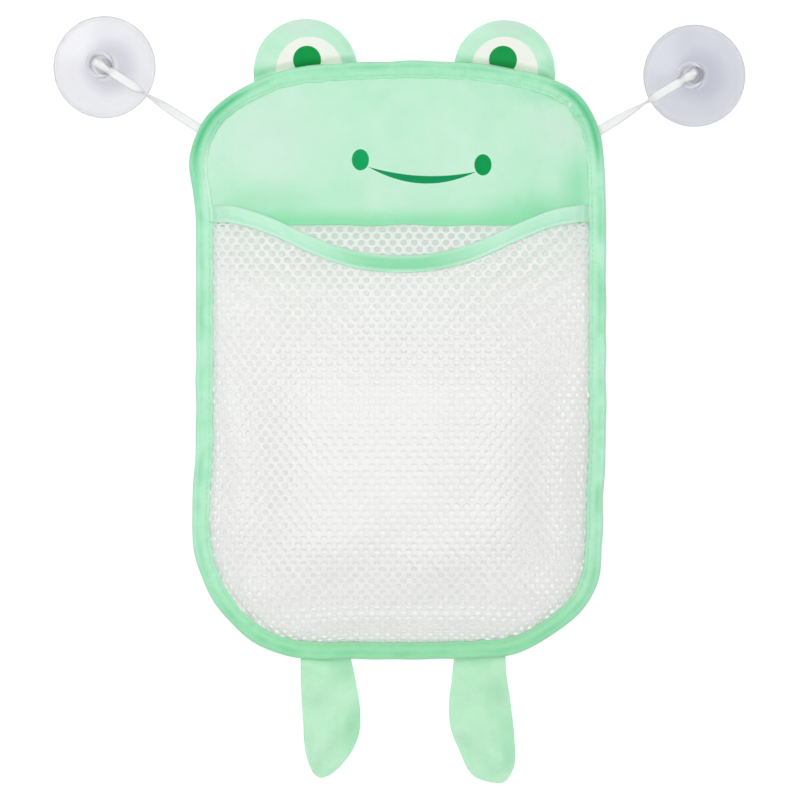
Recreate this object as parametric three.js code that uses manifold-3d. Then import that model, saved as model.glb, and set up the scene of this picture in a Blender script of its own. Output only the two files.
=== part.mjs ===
// A hanging bath organizer: a net pocket under a fabric animal face, with two eye flaps and two legs,
// held by an elastic strap on each side that is knotted inside the knob of a suction cup.
// Units are millimetres. +Z is up, the wall is the plane y = 0, and the front faces -Y.
// The origin lies on the wall, midway between the two suction cups.

import * as THREE from "three";
import { mergeVertices } from "three/addons/utils/BufferGeometryUtils.js";
import Module from "manifold-3d";

const wasm = await Module();
wasm.setup();

const { lerp, clamp, smoothstep } = THREE.MathUtils;

// Bag outline: straight sides between two rounded ends
const bagWidth = 220;
const bagHeight = 320.5;
const bagTop = 4.4;
const bagStandOff = 15;
const topRoundHeight = 66.5;
const bottomRoundHeight = 97;
const topRoundPower = 3.1;
const bottomRoundPower = 3.27;

// Cloth and how it is layered
const netThickness = 0.8;
const faceThickness = 0.8;
const flapCloth = 0.5;
const layerGap = 0.3;
const tapeWidth = 9;
const tapeThickness = 0.7;
const foldRound = 1.2;
const foldCornerShares = { inwards: 0.25, outwards: 0.6 };
const panelInset = 3;

// Face panel
const faceHeight = 87.5;
const faceCrown = 3;
const faceCrownPower = 4;
const facePucker = 0.6;
const facePuckerLength = 37;
const netOverlap = 8;

// Pocket: its rim starts at the sides, dips in the middle and bows away from the back
const rimEndDrop = 81.5;
const rimDip = 27;
const rimDipPower = 1.2;
const rimBow = 22;
const rimEndGap = 2.4;
const rimFaceGap = 0.6;
const bellyDepth = 48;
const bellyDrop = 225;
const bulgePower = 0.75;
const cornerGap = 0.6;

// Net
const netColumns = 9;
const netMargin = 4;
const netRowShare = 0.62;
const netOpenShare = 0.76;
const holePointShare = 2 / 3;

// Eye flaps
const eyeSpacingShare = 0.4818;
const eyeShift = 2;
const eyeRadius = 28;
const eyeCentreZ = 0.3;
const eyePad = 2.4;
const eyePadInset = 3.5;
const padEdgeGap = 1.5;

// Legs
const legSpacingShare = 0.38;
const legShift = 0.8;
const legTopWidth = 26;
const legWidth = 32;
const legLength = 67;
const legFullness = 2.4;
const legRingShares = [1, 0.75, 0.4];
const flapSeamGap = 0.8;
const flapEdgeGap = 0.2;

// Suction cups
const cupReach = 48.8;
const cupShift = -0.8;
const cupTilt = 2.3;
const cupDiameter = 55;
const cupLipWidth = 3;
const cupEdge = 0.7;
const cupHollow = 2.2;
const shoulderDiameter = 26;
const shoulderHeight = 6;
const neckDiameter = 12.2;
const neckHeight = 10.5;
const knobDiameter = 15;
const knobRound = 2;
const cupHeight = 20.5;
const boreDiameter = 10.4;
const boreDepth = 8.3;

// Straps
const strapHoleDepth = 4.3;
const strapBunched = 3.2;
const strapWidth = 5;
const strapFlat = 1.2;
const strapHoleGap = 0.3;
const strapEntryDrop = 36.4;
const strapSewn = 11;
const knotDiameter = 6.8;
const strapSpread = 6;

// How finely curves are cut
const roundSteps = 12;
const sideSteps = 5;
const latheSteps = 28;
const curveSteps = 4;
const strapSides = 8;
const strapSteps = 14;
const knotSteps = 6;
const rimSteps = 28;
const faceColumns = 26;
const faceRows = 8;
const flapSteps = 16;
const footSteps = 6;
const legSteps = 16;

const pi = Math.PI;
const halfWidth = bagWidth / 2;
const eyeSpacing = bagWidth * eyeSpacingShare;
const legSpacing = bagWidth * legSpacingShare;
const cupSpacing = bagWidth + 2 * cupReach;
const topRoundZ = bagTop - topRoundHeight;
const bottomZ = bagTop - bagHeight;
const bottomRoundZ = bottomZ + bottomRoundHeight;
const bindingHalf = tapeThickness + layerGap + netThickness + layerGap / 2;
const layerOffset = (layerGap + netThickness) / 2;
const backLayer = -bagStandOff + layerOffset;
const frontLayer = -bagStandOff - layerOffset;
const innerInset = tapeWidth + layerGap;
const innerHalf = halfWidth - innerInset;
const hemZ = bagTop - faceHeight;

const rimEndX = innerHalf - rimEndGap;
const rimEndZ = bagTop - rimEndDrop;
const rimHalf = tapeThickness + layerGap + netThickness / 2;
const rimLift = faceThickness / 2 + rimFaceGap + rimHalf;

const colours = {
  green: 0x9fe8bd,
  paleGreen: 0xb9f0d0,
  white: 0xf3f1ef,
  foam: 0xf7f7f2,
  strap: 0xf2f2f2,
  clear: 0xe4e4ee,
};
const cloth = { roughness: 0.85, metalness: 0 };
const rubber = { roughness: 0.2, metalness: 0, transparent: true, opacity: 0.6 };

function named(name, geometry, color, finish = cloth) {
  const mesh = new THREE.Mesh(geometry, new THREE.MeshStandardMaterial({ color, ...finish }));
  mesh.name = name;
  return mesh;
}

function evenly(steps, place) {
  return Array.from({ length: steps + 1 }, (_, i) => place(i / steps));
}

// A geometry from its corners and its faces, which turn anticlockwise seen from outside.
function surface(corners, faces) {
  const triangles = [];
  for (const face of faces) {
    for (let i = 2; i < face.length; i++) triangles.push(face[0], face[i - 1], face[i]);
  }
  const geometry = new THREE.BufferGeometry();
  geometry.setAttribute("position", new THREE.Float32BufferAttribute(corners.flat(), 3));
  geometry.setIndex(triangles);
  return geometry;
}

// A closed geometry as a solid that can be cut.
function solid(geometry) {
  const bare = geometry.clone();
  bare.deleteAttribute("normal");
  bare.deleteAttribute("uv");
  const merged = mergeVertices(bare);
  return new wasm.Manifold(
    new wasm.Mesh({
      numProp: 3,
      vertProperties: new Float32Array(merged.attributes.position.array),
      triVerts: new Uint32Array(merged.index.array),
    }),
  );
}

function fromSolid(made) {
  const mesh = made.getMesh();
  const geometry = new THREE.BufferGeometry();
  geometry.setAttribute("position", new THREE.BufferAttribute(new Float32Array(mesh.vertProperties), 3));
  geometry.setIndex(new THREE.BufferAttribute(new Uint32Array(mesh.triVerts), 1));
  return geometry;
}

// A cut pattern in the XZ plane, whose triangles turn anticlockwise seen from the front.
class Pattern {
  points = [];
  triangles = [];
  places = new Map();

  point(p) {
    const key = `${p.x.toFixed(4)} ${p.z.toFixed(4)}`;
    if (!this.places.has(key)) {
      this.places.set(key, this.points.length);
      this.points.push(p);
    }
    return this.places.get(key);
  }

  triangle(a, b, c) {
    const [i, j, k] = [a, b, c].map((p) => this.point(p));
    if (new Set([i, j, k]).size < 3) return;
    const turn = (b.x - a.x) * (c.z - a.z) - (c.x - a.x) * (b.z - a.z);
    this.triangles.push(turn > 0 ? [i, j, k] : [i, k, j]);
  }

  // Two rows of as many points each, joined by a strip.
  strip(first, second) {
    for (let i = 1; i < first.length; i++) {
      this.triangle(first[i - 1], first[i], second[i]);
      this.triangle(first[i - 1], second[i], second[i - 1]);
    }
  }

  // Everything inside a contour but outside its holes.
  fill(contour, holes) {
    const flat = (loop) => loop.map((p) => new THREE.Vector2(p.x, p.z));
    const corners = [contour, ...holes].flat();
    for (const [a, b, c] of THREE.ShapeUtils.triangulateShape(flat(contour), holes.map(flat))) {
      this.triangle(corners[a], corners[b], corners[c]);
    }
  }
}

// A pattern given a thickness. depthAt says how deep the middle of the cloth lies at each point.
function sheet(pattern, thickness, depthAt) {
  const { points, triangles } = pattern;
  const count = points.length;
  const layer = (side) => points.map((p) => [p.x, depthAt(p) + (side * thickness) / 2, p.z]);
  const edges = new Set(triangles.flatMap(([a, b, c]) => [`${a} ${b}`, `${b} ${c}`, `${c} ${a}`]));
  const faces = [...triangles, ...triangles.map(([a, b, c]) => [a + count, c + count, b + count])];
  for (const edge of edges) {
    const [a, b] = edge.split(" ").map(Number);
    if (!edges.has(`${b} ${a}`)) faces.push([b, a, a + count, b + count]);
  }
  return surface([...layer(-1), ...layer(1)], faces);
}

// Skins rings of as many points each. Without a section the rings close on themselves.
function loft(rings, section) {
  const sides = rings[0].length;
  const spans = section ? rings.length - 1 : rings.length;
  const faces = [];
  for (let i = 0; i < spans; i++) {
    const here = i * sides;
    const next = ((i + 1) % rings.length) * sides;
    for (let j = 0; j < sides; j++) {
      const k = (j + 1) % sides;
      faces.push([here + j, next + j, next + k, here + k]);
    }
  }
  if (section) {
    const last = (rings.length - 1) * sides;
    for (const [a, b, c] of sectionTriangles(section)) {
      faces.push([a, b, c], [last + a, last + c, last + b]);
    }
  }
  return surface(rings.flat(), faces);
}

// Triangles that fill a closed section and turn the way its points do.
function sectionTriangles(section) {
  const points = section.map(([x, y]) => new THREE.Vector2(x, y));
  const turn = THREE.ShapeUtils.area(points);
  return THREE.ShapeUtils.triangulateShape(points, []).map(([a, b, c]) => {
    const same = THREE.ShapeUtils.area([points[a], points[b], points[c]]) * turn > 0;
    return same ? [a, b, c] : [a, c, b];
  });
}

// Height of a rounded end above its widest line, at x from the middle.
function roundHeight(x, width, height, power) {
  const share = Math.min(1, Math.abs(x) / width);
  return height * (1 - share ** power) ** (1 / power);
}

// The bag's top and bottom edges at x, moved in from the outline by inset.
function topEdge(x, inset) {
  return topRoundZ + roundHeight(x, halfWidth - inset, topRoundHeight - inset, topRoundPower);
}

function bottomEdge(x, inset) {
  return bottomRoundZ - roundHeight(x, halfWidth - inset, bottomRoundHeight - inset, bottomRoundPower);
}

// A quarter of a rounded end from its side to its middle, as distances from its centre.
function quarter(inset, height, power) {
  return evenly(roundSteps, (share) => {
    const angle = (pi / 2) * share;
    return {
      x: (halfWidth - inset) * Math.cos(angle) ** (2 / power),
      z: (height - inset) * Math.sin(angle) ** (2 / power),
    };
  });
}

// The quarter of the outline, with the outward normal at each point.
function outlineQuarter(height, power) {
  return quarter(0, height, power).map(({ x, z }) => {
    const across = (x / halfWidth) ** (power - 1) / halfWidth;
    const along = (z / height) ** (power - 1) / height;
    const length = Math.hypot(across, along);
    return { x, z, nx: across / length, nz: along / length };
  });
}

// The whole outline, anticlockwise seen from the front, starting at the right side.
function outline() {
  const mirrored = (list) => list.slice(0, -1).reverse().map((p) => ({ ...p, x: -p.x, nx: -p.nx }));
  const right = outlineQuarter(topRoundHeight, topRoundPower).map((p) => ({ ...p, z: topRoundZ + p.z }));
  const leftLow = outlineQuarter(bottomRoundHeight, bottomRoundPower).map((p) => ({
    x: -p.x,
    z: bottomRoundZ - p.z,
    nx: -p.nx,
    nz: -p.nz,
  }));
  const side = (sign) =>
    evenly(sideSteps, (share) => ({
      x: sign * halfWidth,
      z: lerp(topRoundZ, bottomRoundZ, share),
      nx: sign,
      nz: 0,
    })).slice(1, -1);
  return [...right, ...mirrored(right), ...side(-1), ...leftLow, ...mirrored(leftLow), ...side(1).reverse()];
}

// A tape folded in half, seen end on: the distance in from its fold, and the distance from its middle.
function foldedTape(half) {
  const inner = half - tapeThickness;
  const foldInside = tapeThickness + layerGap;
  const cornerIn = foldRound * foldCornerShares.inwards;
  const cornerOut = half * foldCornerShares.outwards;
  return [
    [tapeWidth, half],
    [foldRound, half],
    [cornerIn, cornerOut],
    [0, 0],
    [cornerIn, -cornerOut],
    [foldRound, -half],
    [tapeWidth, -half],
    [tapeWidth, -inner],
    [foldInside, -inner],
    [foldInside, inner],
    [tapeWidth, inner],
  ];
}

// The tape that is folded over the edge of every panel, all the way round.
function edgeBinding() {
  const section = foldedTape(bindingHalf);
  const rings = outline().map((p) =>
    section.map(([inset, off]) => [p.x - p.nx * inset, -bagStandOff + off, p.z - p.nz * inset]),
  );
  return loft(rings);
}

// How far out a point is inside the binding, from 0 in the middle to 1 at the binding.
function shareInside(x, beyond, height, power) {
  const across = Math.abs(x) / innerHalf;
  const along = Math.max(0, beyond) / (height - innerInset);
  return (across ** power + along ** power) ** (1 / power);
}

function pocketShare({ x, z }) {
  return shareInside(x, bottomRoundZ - z, bottomRoundHeight, bottomRoundPower);
}

function faceShare({ x, z }) {
  return shareInside(x, z - topRoundZ, topRoundHeight, topRoundPower);
}

// The face panel is flat under the binding, and crowned with soft upright puckers inside it.
function faceDepth(p) {
  const free = 1 - Math.min(1, faceShare(p)) ** faceCrownPower;
  const pucker = (facePucker * (1 + Math.cos((2 * pi * p.x) / facePuckerLength))) / 2;
  return frontLayer - free * (faceCrown + pucker);
}

function facePanel() {
  const xs = evenly(faceColumns, (share) => (halfWidth - panelInset) * Math.sin((share - 0.5) * pi));
  const row = (share) => xs.map((x) => ({ x, z: lerp(hemZ, topEdge(x, innerInset), share) }));
  const rows = evenly(faceRows, row);
  rows.push(xs.map((x) => ({ x, z: topEdge(x, panelInset) })));
  const pattern = new Pattern();
  for (let i = 1; i < rows.length; i++) pattern.strip(rows[i - 1], rows[i]);
  return sheet(pattern, faceThickness, faceDepth);
}

function rimZ(x) {
  const reach = Math.min(1, Math.abs(x) / rimEndX) ** rimDipPower;
  return rimEndZ - (rimDip * (1 + Math.cos(pi * reach))) / 2;
}

// How deep the pocket's net lies. It bows at the rim and bellies out further down.
function pocketDepth(p) {
  const share = Math.min(1, pocketShare(p));
  const rimLow = rimEndZ - rimDip;
  const down = smoothstep(rimLow - p.z, 0, rimLow - (bagTop - bellyDrop));
  const lift = rimLift * Math.min(1, ((1 - share) * innerHalf) / rimEndGap);
  return frontLayer - lift - lerp(rimBow, bellyDepth, down) * (1 - share * share) ** bulgePower;
}

// The pocket rim from right to left, moved up by rise.
function rimLine(rise) {
  return evenly(rimSteps, (share) => {
    const x = rimEndX * Math.sin((0.5 - share) * pi);
    return { x, z: rimZ(x) + rise };
  });
}

// The tape folded over the pocket's rim, open downwards for the net.
function rimBinding() {
  const section = foldedTape(rimHalf);
  const rings = rimLine(tapeWidth / 2).map(({ x, z }) =>
    section.map(([inset, off]) => [x, pocketDepth({ x, z: z - inset }) + off, z - inset]),
  );
  return loft(rings, section);
}

// The edge of a net from its right corner down, round the bottom and up to its left corner.
function netEdge(inset, cornerZ) {
  const low = quarter(inset, bottomRoundHeight, bottomRoundPower).map(({ x, z }) => ({ x, z: bottomRoundZ - z }));
  const right = [{ x: halfWidth - inset, z: cornerZ }, ...low];
  const left = right.slice(0, -1).reverse().map(({ x, z }) => ({ x: -x, z }));
  return [...right, ...left];
}

// Rows of pointed holes, every other row moved by half a pitch, where all six corners pass the test.
function netHoles(passes) {
  const pitch = (2 * (innerHalf - netMargin)) / netColumns;
  const rise = pitch * netRowShare;
  const wide = (pitch * netOpenShare) / 2;
  const tall = rise * netOpenShare * holePointShare;
  const hexagon = (x, z) => [
    { x: x + wide, z: z - tall / 2 },
    { x: x + wide, z: z + tall / 2 },
    { x, z: z + tall },
    { x: x - wide, z: z + tall / 2 },
    { x: x - wide, z: z - tall / 2 },
    { x, z: z - tall },
  ];
  const holes = [];
  const rows = Math.floor(bagHeight / rise);
  for (let row = 0; row < rows; row++) {
    const z = bottomZ + innerInset + netMargin + tall + row * rise;
    const shift = row % 2 ? 0 : 0.5;
    for (let column = -netColumns; column <= netColumns; column++) {
      const hole = hexagon((column + shift) * pitch, z);
      if (hole.every(passes)) holes.push(hole);
    }
  }
  return holes;
}

function insideMargin(p) {
  return pocketShare(p) < 1 - netMargin / innerHalf;
}

// The pocket's front: flat where the tapes hold its edge, open net in between.
function frontNet() {
  const cornerZ = hemZ - cornerGap;
  const seam = netEdge(panelInset, cornerZ);
  const inner = netEdge(innerInset, cornerZ);
  const rimSeam = rimLine(tapeWidth / 2 - panelInset);
  const underRim = rimLine(-tapeWidth / 2 - layerGap);
  const pattern = new Pattern();
  pattern.strip(seam, inner);
  pattern.strip(rimSeam, underRim);
  const belowRim = (p) => p.z < rimZ(p.x) - tapeWidth / 2 - netMargin;
  pattern.fill([...inner, ...underRim.reverse()], netHoles((p) => insideMargin(p) && belowRim(p)));
  return sheet(pattern, netThickness, pocketDepth);
}

// The flat net behind the pocket, sewn behind the hem of the face panel.
function backNet() {
  const seam = netEdge(panelInset, hemZ + netOverlap);
  const pattern = new Pattern();
  pattern.fill(seam, netHoles((p) => insideMargin(p) && p.z < hemZ));
  return sheet(pattern, netThickness, () => backLayer);
}

// A pattern of rings that shrink from its outline to its middle. Each point keeps its share of the way.
function ringed(edge, middle, shares) {
  const ring = (share) =>
    [...edge, edge[0]].map((p) => ({
      x: lerp(middle.x, p.x, share),
      z: lerp(middle.z, p.z, share),
      share,
    }));
  const pattern = new Pattern();
  for (let i = 1; i < shares.length; i++) pattern.strip(ring(shares[i - 1]), ring(shares[i]));
  const last = ring(shares.at(-1));
  for (let i = 1; i < last.length; i++) pattern.triangle(last[i - 1], last[i], { ...middle, share: 0 });
  return pattern;
}

// A front and a back cloth that meet at their edge and stand apart inside it.
function twoCloths(name, pattern, offsetAt, color) {
  const side = (sign) => sheet(pattern, flapCloth, (p) => -bagStandOff + sign * offsetAt(p.share));
  return [named(`${name}_front`, side(-1), color), named(`${name}_back`, side(1), color)];
}

const edgeOffset = (flapEdgeGap + flapCloth) / 2;

// A dome that stands on the bag's top edge.
function eyeOutline(centreX) {
  const base = (x) => topEdge(x, 0) + flapSeamGap;
  const start = (side) => {
    const cut = Math.max(0, base(centreX + side * eyeRadius) - eyeCentreZ);
    return Math.asin(cut / eyeRadius);
  };
  const first = start(1);
  const last = pi - start(-1);
  const arc = evenly(flapSteps, (share) => {
    const angle = lerp(first, last, share);
    return { x: centreX + eyeRadius * Math.cos(angle), z: eyeCentreZ + eyeRadius * Math.sin(angle) };
  });
  const foot = evenly(footSteps, (share) => {
    const x = lerp(arc.at(-1).x, arc[0].x, share);
    return { x, z: base(x) };
  });
  return [...arc.slice(1, -1), ...foot];
}

// An eye flap: two cloths sewn round a foam pad that keeps it upright.
function eye(side) {
  const name = side < 0 ? "left_eye" : "right_eye";
  const centreX = (side * eyeSpacing) / 2 + eyeShift;
  const edge = eyeOutline(centreX);
  const middle = { x: centreX, z: eyeCentreZ + eyeRadius / 2 };
  const padShare = 1 - eyePadInset / eyeRadius;
  const padOffset = (eyePad + flapCloth) / 2 + layerGap;
  const offsetAt = (share) => lerp(edgeOffset, padOffset, clamp((1 - share) / (1 - padShare), 0, 1));
  const pattern = ringed(edge, middle, [1, padShare, padShare / 2]);
  const foamShare = padShare - padEdgeGap / eyeRadius;
  const foam = new THREE.Shape(
    edge.map((p) => new THREE.Vector2(lerp(middle.x, p.x, foamShare), lerp(middle.z, p.z, foamShare))),
  );
  const pad = new THREE.ExtrudeGeometry(foam, { depth: eyePad, bevelEnabled: false });
  pad.rotateX(pi / 2).translate(0, -bagStandOff + eyePad / 2, 0);
  return [...twoCloths(name, pattern, offsetAt, colours.paleGreen), named(`${name}_pad`, pad, colours.foam)];
}

// The leg's outline below its seam, from the outer corner round the foot to the inner corner.
// Each pair is the share of the width inwards and the share of the length down.
const legShares = [
  [0, 0.12],
  [-0.02, 0.4],
  [-0.01, 0.75],
  [0.05, 0.92],
  [0.24, 1],
  [0.5, 0.955],
  [0.77, 0.8],
  [0.94, 0.6],
  [0.97, 0.43],
  [0.92, 0.2],
];

function legOutline(side) {
  const centreX = (side * legSpacing) / 2 + legShift;
  const outerX = centreX + (side * legTopWidth) / 2;
  const seamZ = (x) => bottomEdge(x, 0) - flapSeamGap;
  const top = evenly(footSteps, (share) => {
    const x = lerp(outerX - side * legTopWidth, outerX, share);
    return { x, z: seamZ(x) };
  });
  const place = ([across, down]) =>
    new THREE.Vector2(outerX - side * across * legWidth, bottomZ - down * legLength);
  const ends = [top.at(-1), top[0]].map(({ x, z }) => new THREE.Vector2(x, z));
  const curve = new THREE.SplineCurve([ends[0], ...legShares.map(place), ends[1]]);
  const round = curve.getPoints(legSteps).slice(1, -1).map(({ x, y }) => ({ x, z: y }));
  return [...top, ...round];
}

// A leg: two cloths sewn together edge to edge, a little full between.
function leg(side) {
  const name = side < 0 ? "left_leg" : "right_leg";
  const middle = {
    x: (side * legSpacing) / 2 + legShift - (side * (legWidth - legTopWidth)) / 2,
    z: bottomZ - legLength / 2,
  };
  const pattern = ringed(legOutline(side), middle, legRingShares);
  const offsetAt = (share) => edgeOffset + (legFullness / 2) * (1 - share * share);
  return twoCloths(name, pattern, offsetAt, colours.paleGreen);
}

// Where the strap starts in the knob and where it meets the bag.
function strapEnds(side) {
  const x = (side * cupSpacing) / 2 + cupShift;
  const cup = new THREE.Vector3(x, 0, -side * cupTilt);
  const knot = cup.clone().setY(-cupHeight + strapHoleDepth);
  const entryZ = bagTop - strapEntryDrop;
  const rise = ((entryZ - topRoundZ) / topRoundHeight) ** topRoundPower;
  const entryX = side * halfWidth * (1 - rise) ** (1 / topRoundPower);
  const behind = -bagStandOff + bindingHalf + layerGap + strapFlat / 2;
  const entry = new THREE.Vector3(entryX, behind, entryZ);
  return { cup, knot, entry, along: entry.clone().sub(knot).normalize() };
}

// Half of the cup seen in section, as radius and height above the wall.
function cupProfile() {
  const [rim, shoulder, neck, knob, bore] = [
    cupDiameter,
    shoulderDiameter,
    neckDiameter,
    knobDiameter,
    boreDiameter,
  ].map((diameter) => diameter / 2);
  const path = new THREE.Path();
  path.moveTo(0, cupHollow);
  path.quadraticCurveTo(rim / 2, cupHollow, rim - cupLipWidth, 0);
  path.lineTo(rim, 0);
  path.lineTo(rim, cupEdge);
  path.quadraticCurveTo((rim + shoulder) / 2, shoulderHeight / 2, shoulder, shoulderHeight);
  path.quadraticCurveTo(neck, shoulderHeight, neck, neckHeight);
  path.quadraticCurveTo(knob, neckHeight, knob, neckHeight + knobRound);
  path.lineTo(knob, cupHeight - knobRound);
  path.quadraticCurveTo(knob, cupHeight, (knob + bore) / 2, cupHeight);
  path.lineTo(bore, cupHeight);
  path.lineTo(bore, cupHeight - boreDepth);
  path.lineTo(0, cupHeight - boreDepth);
  return path.getPoints(curveSteps);
}

// A suction cup whose hollow knob has a hole on the bag's side for the strap.
function suctionCup(side) {
  const { cup, knot, along } = strapEnds(side);
  const turned = new THREE.LatheGeometry(cupProfile(), latheSteps).rotateX(pi).translate(cup.x, 0, cup.z);
  const holeRadius = strapBunched / 2 + strapHoleGap;
  const drill = new THREE.CylinderGeometry(holeRadius, holeRadius, knobDiameter, strapSides * 2);
  drill.translate(0, knobDiameter / 2, 0);
  drill.applyQuaternion(new THREE.Quaternion().setFromUnitVectors(new THREE.Vector3(0, 1, 0), along));
  drill.translate(knot.x, knot.y, knot.z);
  const name = side < 0 ? "left_suction_cup" : "right_suction_cup";
  return named(name, fromSolid(solid(turned).subtract(solid(drill))), colours.clear, rubber);
}

// Half the width, half the thickness and the twist of the strap at each step from its knot.
function strapSteppings(free) {
  const knot = knotDiameter / 2;
  const bunched = strapBunched / 2;
  const shut = Math.asin(bunched / knot);
  const ball = evenly(knotSteps, (share) => {
    const angle = lerp(shut / 2, pi - shut, share);
    const radius = knot * Math.sin(angle);
    return { at: -knot * Math.cos(angle), wide: radius, thick: radius, twist: 0 };
  });
  const clear = knobDiameter / 2 + strapHoleGap;
  const flatStart = clear + strapSpread;
  const flat = { wide: strapWidth / 2, thick: strapFlat / 2 };
  const twisted = evenly(strapSteps, (share) => ({
    at: lerp(flatStart, free, share),
    twist: pi * share,
    ...flat,
  }));
  const sewn = [
    { at: free + strapSewn / 2, twist: pi, ...flat },
    { at: free + strapSewn, twist: pi, ...flat },
  ];
  return [...ball, { at: clear, wide: bunched, thick: bunched, twist: 0 }, ...twisted, ...sewn];
}

// An elastic strap, knotted in the knob, twisted half a turn on its way and sewn behind the binding.
function strap(side) {
  const { knot, entry, along } = strapEnds(side);
  const free = entry.distanceTo(knot);
  const depthAxis = new THREE.Vector3(0, 1, 0);
  const across = along.clone().cross(depthAxis).normalize();
  const section = evenly(strapSides, (share) => [Math.cos(2 * pi * share), Math.sin(2 * pi * share)]);
  section.pop();
  const rings = strapSteppings(free).map(({ at, wide, thick, twist }) => {
    const centre = knot.clone().addScaledVector(along, at);
    centre.y = Math.min(centre.y, entry.y);
    return section.map(([u, v]) => {
      const sideways = wide * u * Math.cos(twist) - thick * v * Math.sin(twist);
      const inwards = wide * u * Math.sin(twist) + thick * v * Math.cos(twist);
      return centre.clone().addScaledVector(across, sideways).addScaledVector(depthAxis, inwards).toArray();
    });
  });
  return named(side < 0 ? "left_strap" : "right_strap", loft(rings, section), colours.strap);
}

const organizer = new THREE.Group();
organizer.add(
  named("edge_binding", edgeBinding(), colours.green),
  named("face_panel", facePanel(), colours.paleGreen),
  named("back_net", backNet(), colours.white),
  named("front_net", frontNet(), colours.white),
  named("pocket_rim_binding", rimBinding(), colours.green),
);
for (const side of [-1, 1]) {
  organizer.add(...eye(side), ...leg(side), suctionCup(side), strap(side));
}

export default organizer;
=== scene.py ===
"""Looks of a hanging bath organizer: a net pocket under a printed animal face.

Two elastic straps hold the bag on suction cups, and it has two eye flaps and two legs.
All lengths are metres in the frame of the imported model: the wall is y = 0, the front
faces -Y and +Z is up.
"""

import logging
import math
from collections.abc import Callable, Sequence
from dataclasses import dataclass, field
from enum import Enum

import bmesh
import bpy
import numpy as np
from mathutils import Matrix, Vector


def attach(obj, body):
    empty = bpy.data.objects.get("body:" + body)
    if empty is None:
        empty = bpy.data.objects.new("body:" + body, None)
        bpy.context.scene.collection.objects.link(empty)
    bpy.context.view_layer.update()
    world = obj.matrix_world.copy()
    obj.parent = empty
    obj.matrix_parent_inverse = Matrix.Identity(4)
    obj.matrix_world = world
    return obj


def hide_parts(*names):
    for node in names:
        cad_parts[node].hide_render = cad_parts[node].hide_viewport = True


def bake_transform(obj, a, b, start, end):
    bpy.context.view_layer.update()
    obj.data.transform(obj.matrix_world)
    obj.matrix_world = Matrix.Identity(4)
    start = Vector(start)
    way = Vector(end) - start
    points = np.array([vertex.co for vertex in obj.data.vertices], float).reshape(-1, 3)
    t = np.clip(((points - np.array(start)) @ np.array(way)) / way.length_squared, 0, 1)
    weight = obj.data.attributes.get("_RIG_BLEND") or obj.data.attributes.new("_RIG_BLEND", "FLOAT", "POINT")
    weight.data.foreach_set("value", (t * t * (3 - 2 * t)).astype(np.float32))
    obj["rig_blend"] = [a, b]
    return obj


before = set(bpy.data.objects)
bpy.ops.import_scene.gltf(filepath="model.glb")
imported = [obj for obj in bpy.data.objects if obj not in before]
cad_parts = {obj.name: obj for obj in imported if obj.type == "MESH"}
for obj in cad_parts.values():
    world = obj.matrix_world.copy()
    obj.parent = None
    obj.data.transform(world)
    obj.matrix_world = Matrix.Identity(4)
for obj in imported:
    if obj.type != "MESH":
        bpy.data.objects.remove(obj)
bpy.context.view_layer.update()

log = logging.getLogger("bath_organizer")

Array = np.ndarray
Colour = tuple[int, int, int]
Place = Callable[[Array, Array], Array]
Socket = bpy.types.NodeSocket
Piece = bpy.types.Object
Mesh = bmesh.types.BMesh
Material = bpy.types.Material
Spot = tuple[float, float]


# Shapes of numbers


def ease(value: Array) -> Array:
    """A soft step from 0 to 1.

    Args:
        value: Where on the step, 0 at its start and 1 at its end.

    Returns:
        The height of the step.
    """
    cut = np.clip(value, 0.0, 1.0)
    return cut * cut * (3.0 - 2.0 * cut)


def mixed(first: Array, second: Array, share: Array) -> Array:
    """The value that lies a share of the way from the first to the second."""
    return first + (second - first) * share


def ripple(share: Array, crests: float, seed: int) -> Array:
    """An uneven wave that closes on itself after a share of 1.

    Args:
        share: Where on the line, from 0 to 1.
        crests: How many crests the line has, about.
        seed: Which of the uneven waves.

    Returns:
        Heights from about -1 to 1.
    """
    dice = np.random.default_rng(seed)
    total = np.zeros_like(share)
    for _ in range(5):
        count = round(crests / dice.uniform(0.7, 1.6))
        total = total + np.sin(2 * np.pi * (share * count + dice.uniform()))
    return total / 2.4


def crumple(x: Array, z: Array, length: float, seed: int) -> Array:
    """Soft folds that run every way over a cloth.

    Args:
        x: Distances across the cloth.
        z: Distances along the cloth.
        length: How far apart the folds are, about.
        seed: Which of the patterns.

    Returns:
        Heights from about -1 to 1.
    """
    dice = np.random.default_rng(seed)
    total = np.zeros_like(x)
    for _ in range(7):
        turn = dice.uniform(0, np.pi)
        across = (x * np.cos(turn) + z * np.sin(turn)) / (length * dice.uniform(0.7, 1.8))
        total = total + np.sin(2 * np.pi * (across + dice.uniform()))
    return total / 3.2


def smooth_line(corners: Sequence[tuple[float, float]], share: Array) -> Array:
    """Points on a smooth line through corners.

    Args:
        corners: The points that the line passes, in order.
        share: How far along the line, from 0 to 1.

    Returns:
        One row of two numbers for each share.
    """
    points = np.array(corners, float)
    steps = np.hypot(*np.diff(points, axis=0).T)
    reach = reach_along(*points.T)
    slopes = np.gradient(points, reach, axis=0)
    at = np.clip(share, 0, 1) * reach[-1]
    i = np.clip(np.searchsorted(reach, at, side="right") - 1, 0, len(steps) - 1)
    span = steps[i][:, None]
    t = ((at - reach[i]) / steps[i])[:, None]
    return (
        (2 * t**3 - 3 * t**2 + 1) * points[i]
        + (t**3 - 2 * t**2 + t) * span * slopes[i]
        + (3 * t**2 - 2 * t**3) * points[i + 1]
        + (t**3 - t**2) * span * slopes[i + 1]
    )


def reach_along(*columns: Array) -> Array:
    """How far along a line each of its points lies, from its columns of coordinates."""
    return np.concatenate([[0.0], np.cumsum(np.hypot(*(np.diff(column) for column in columns)))])


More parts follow.
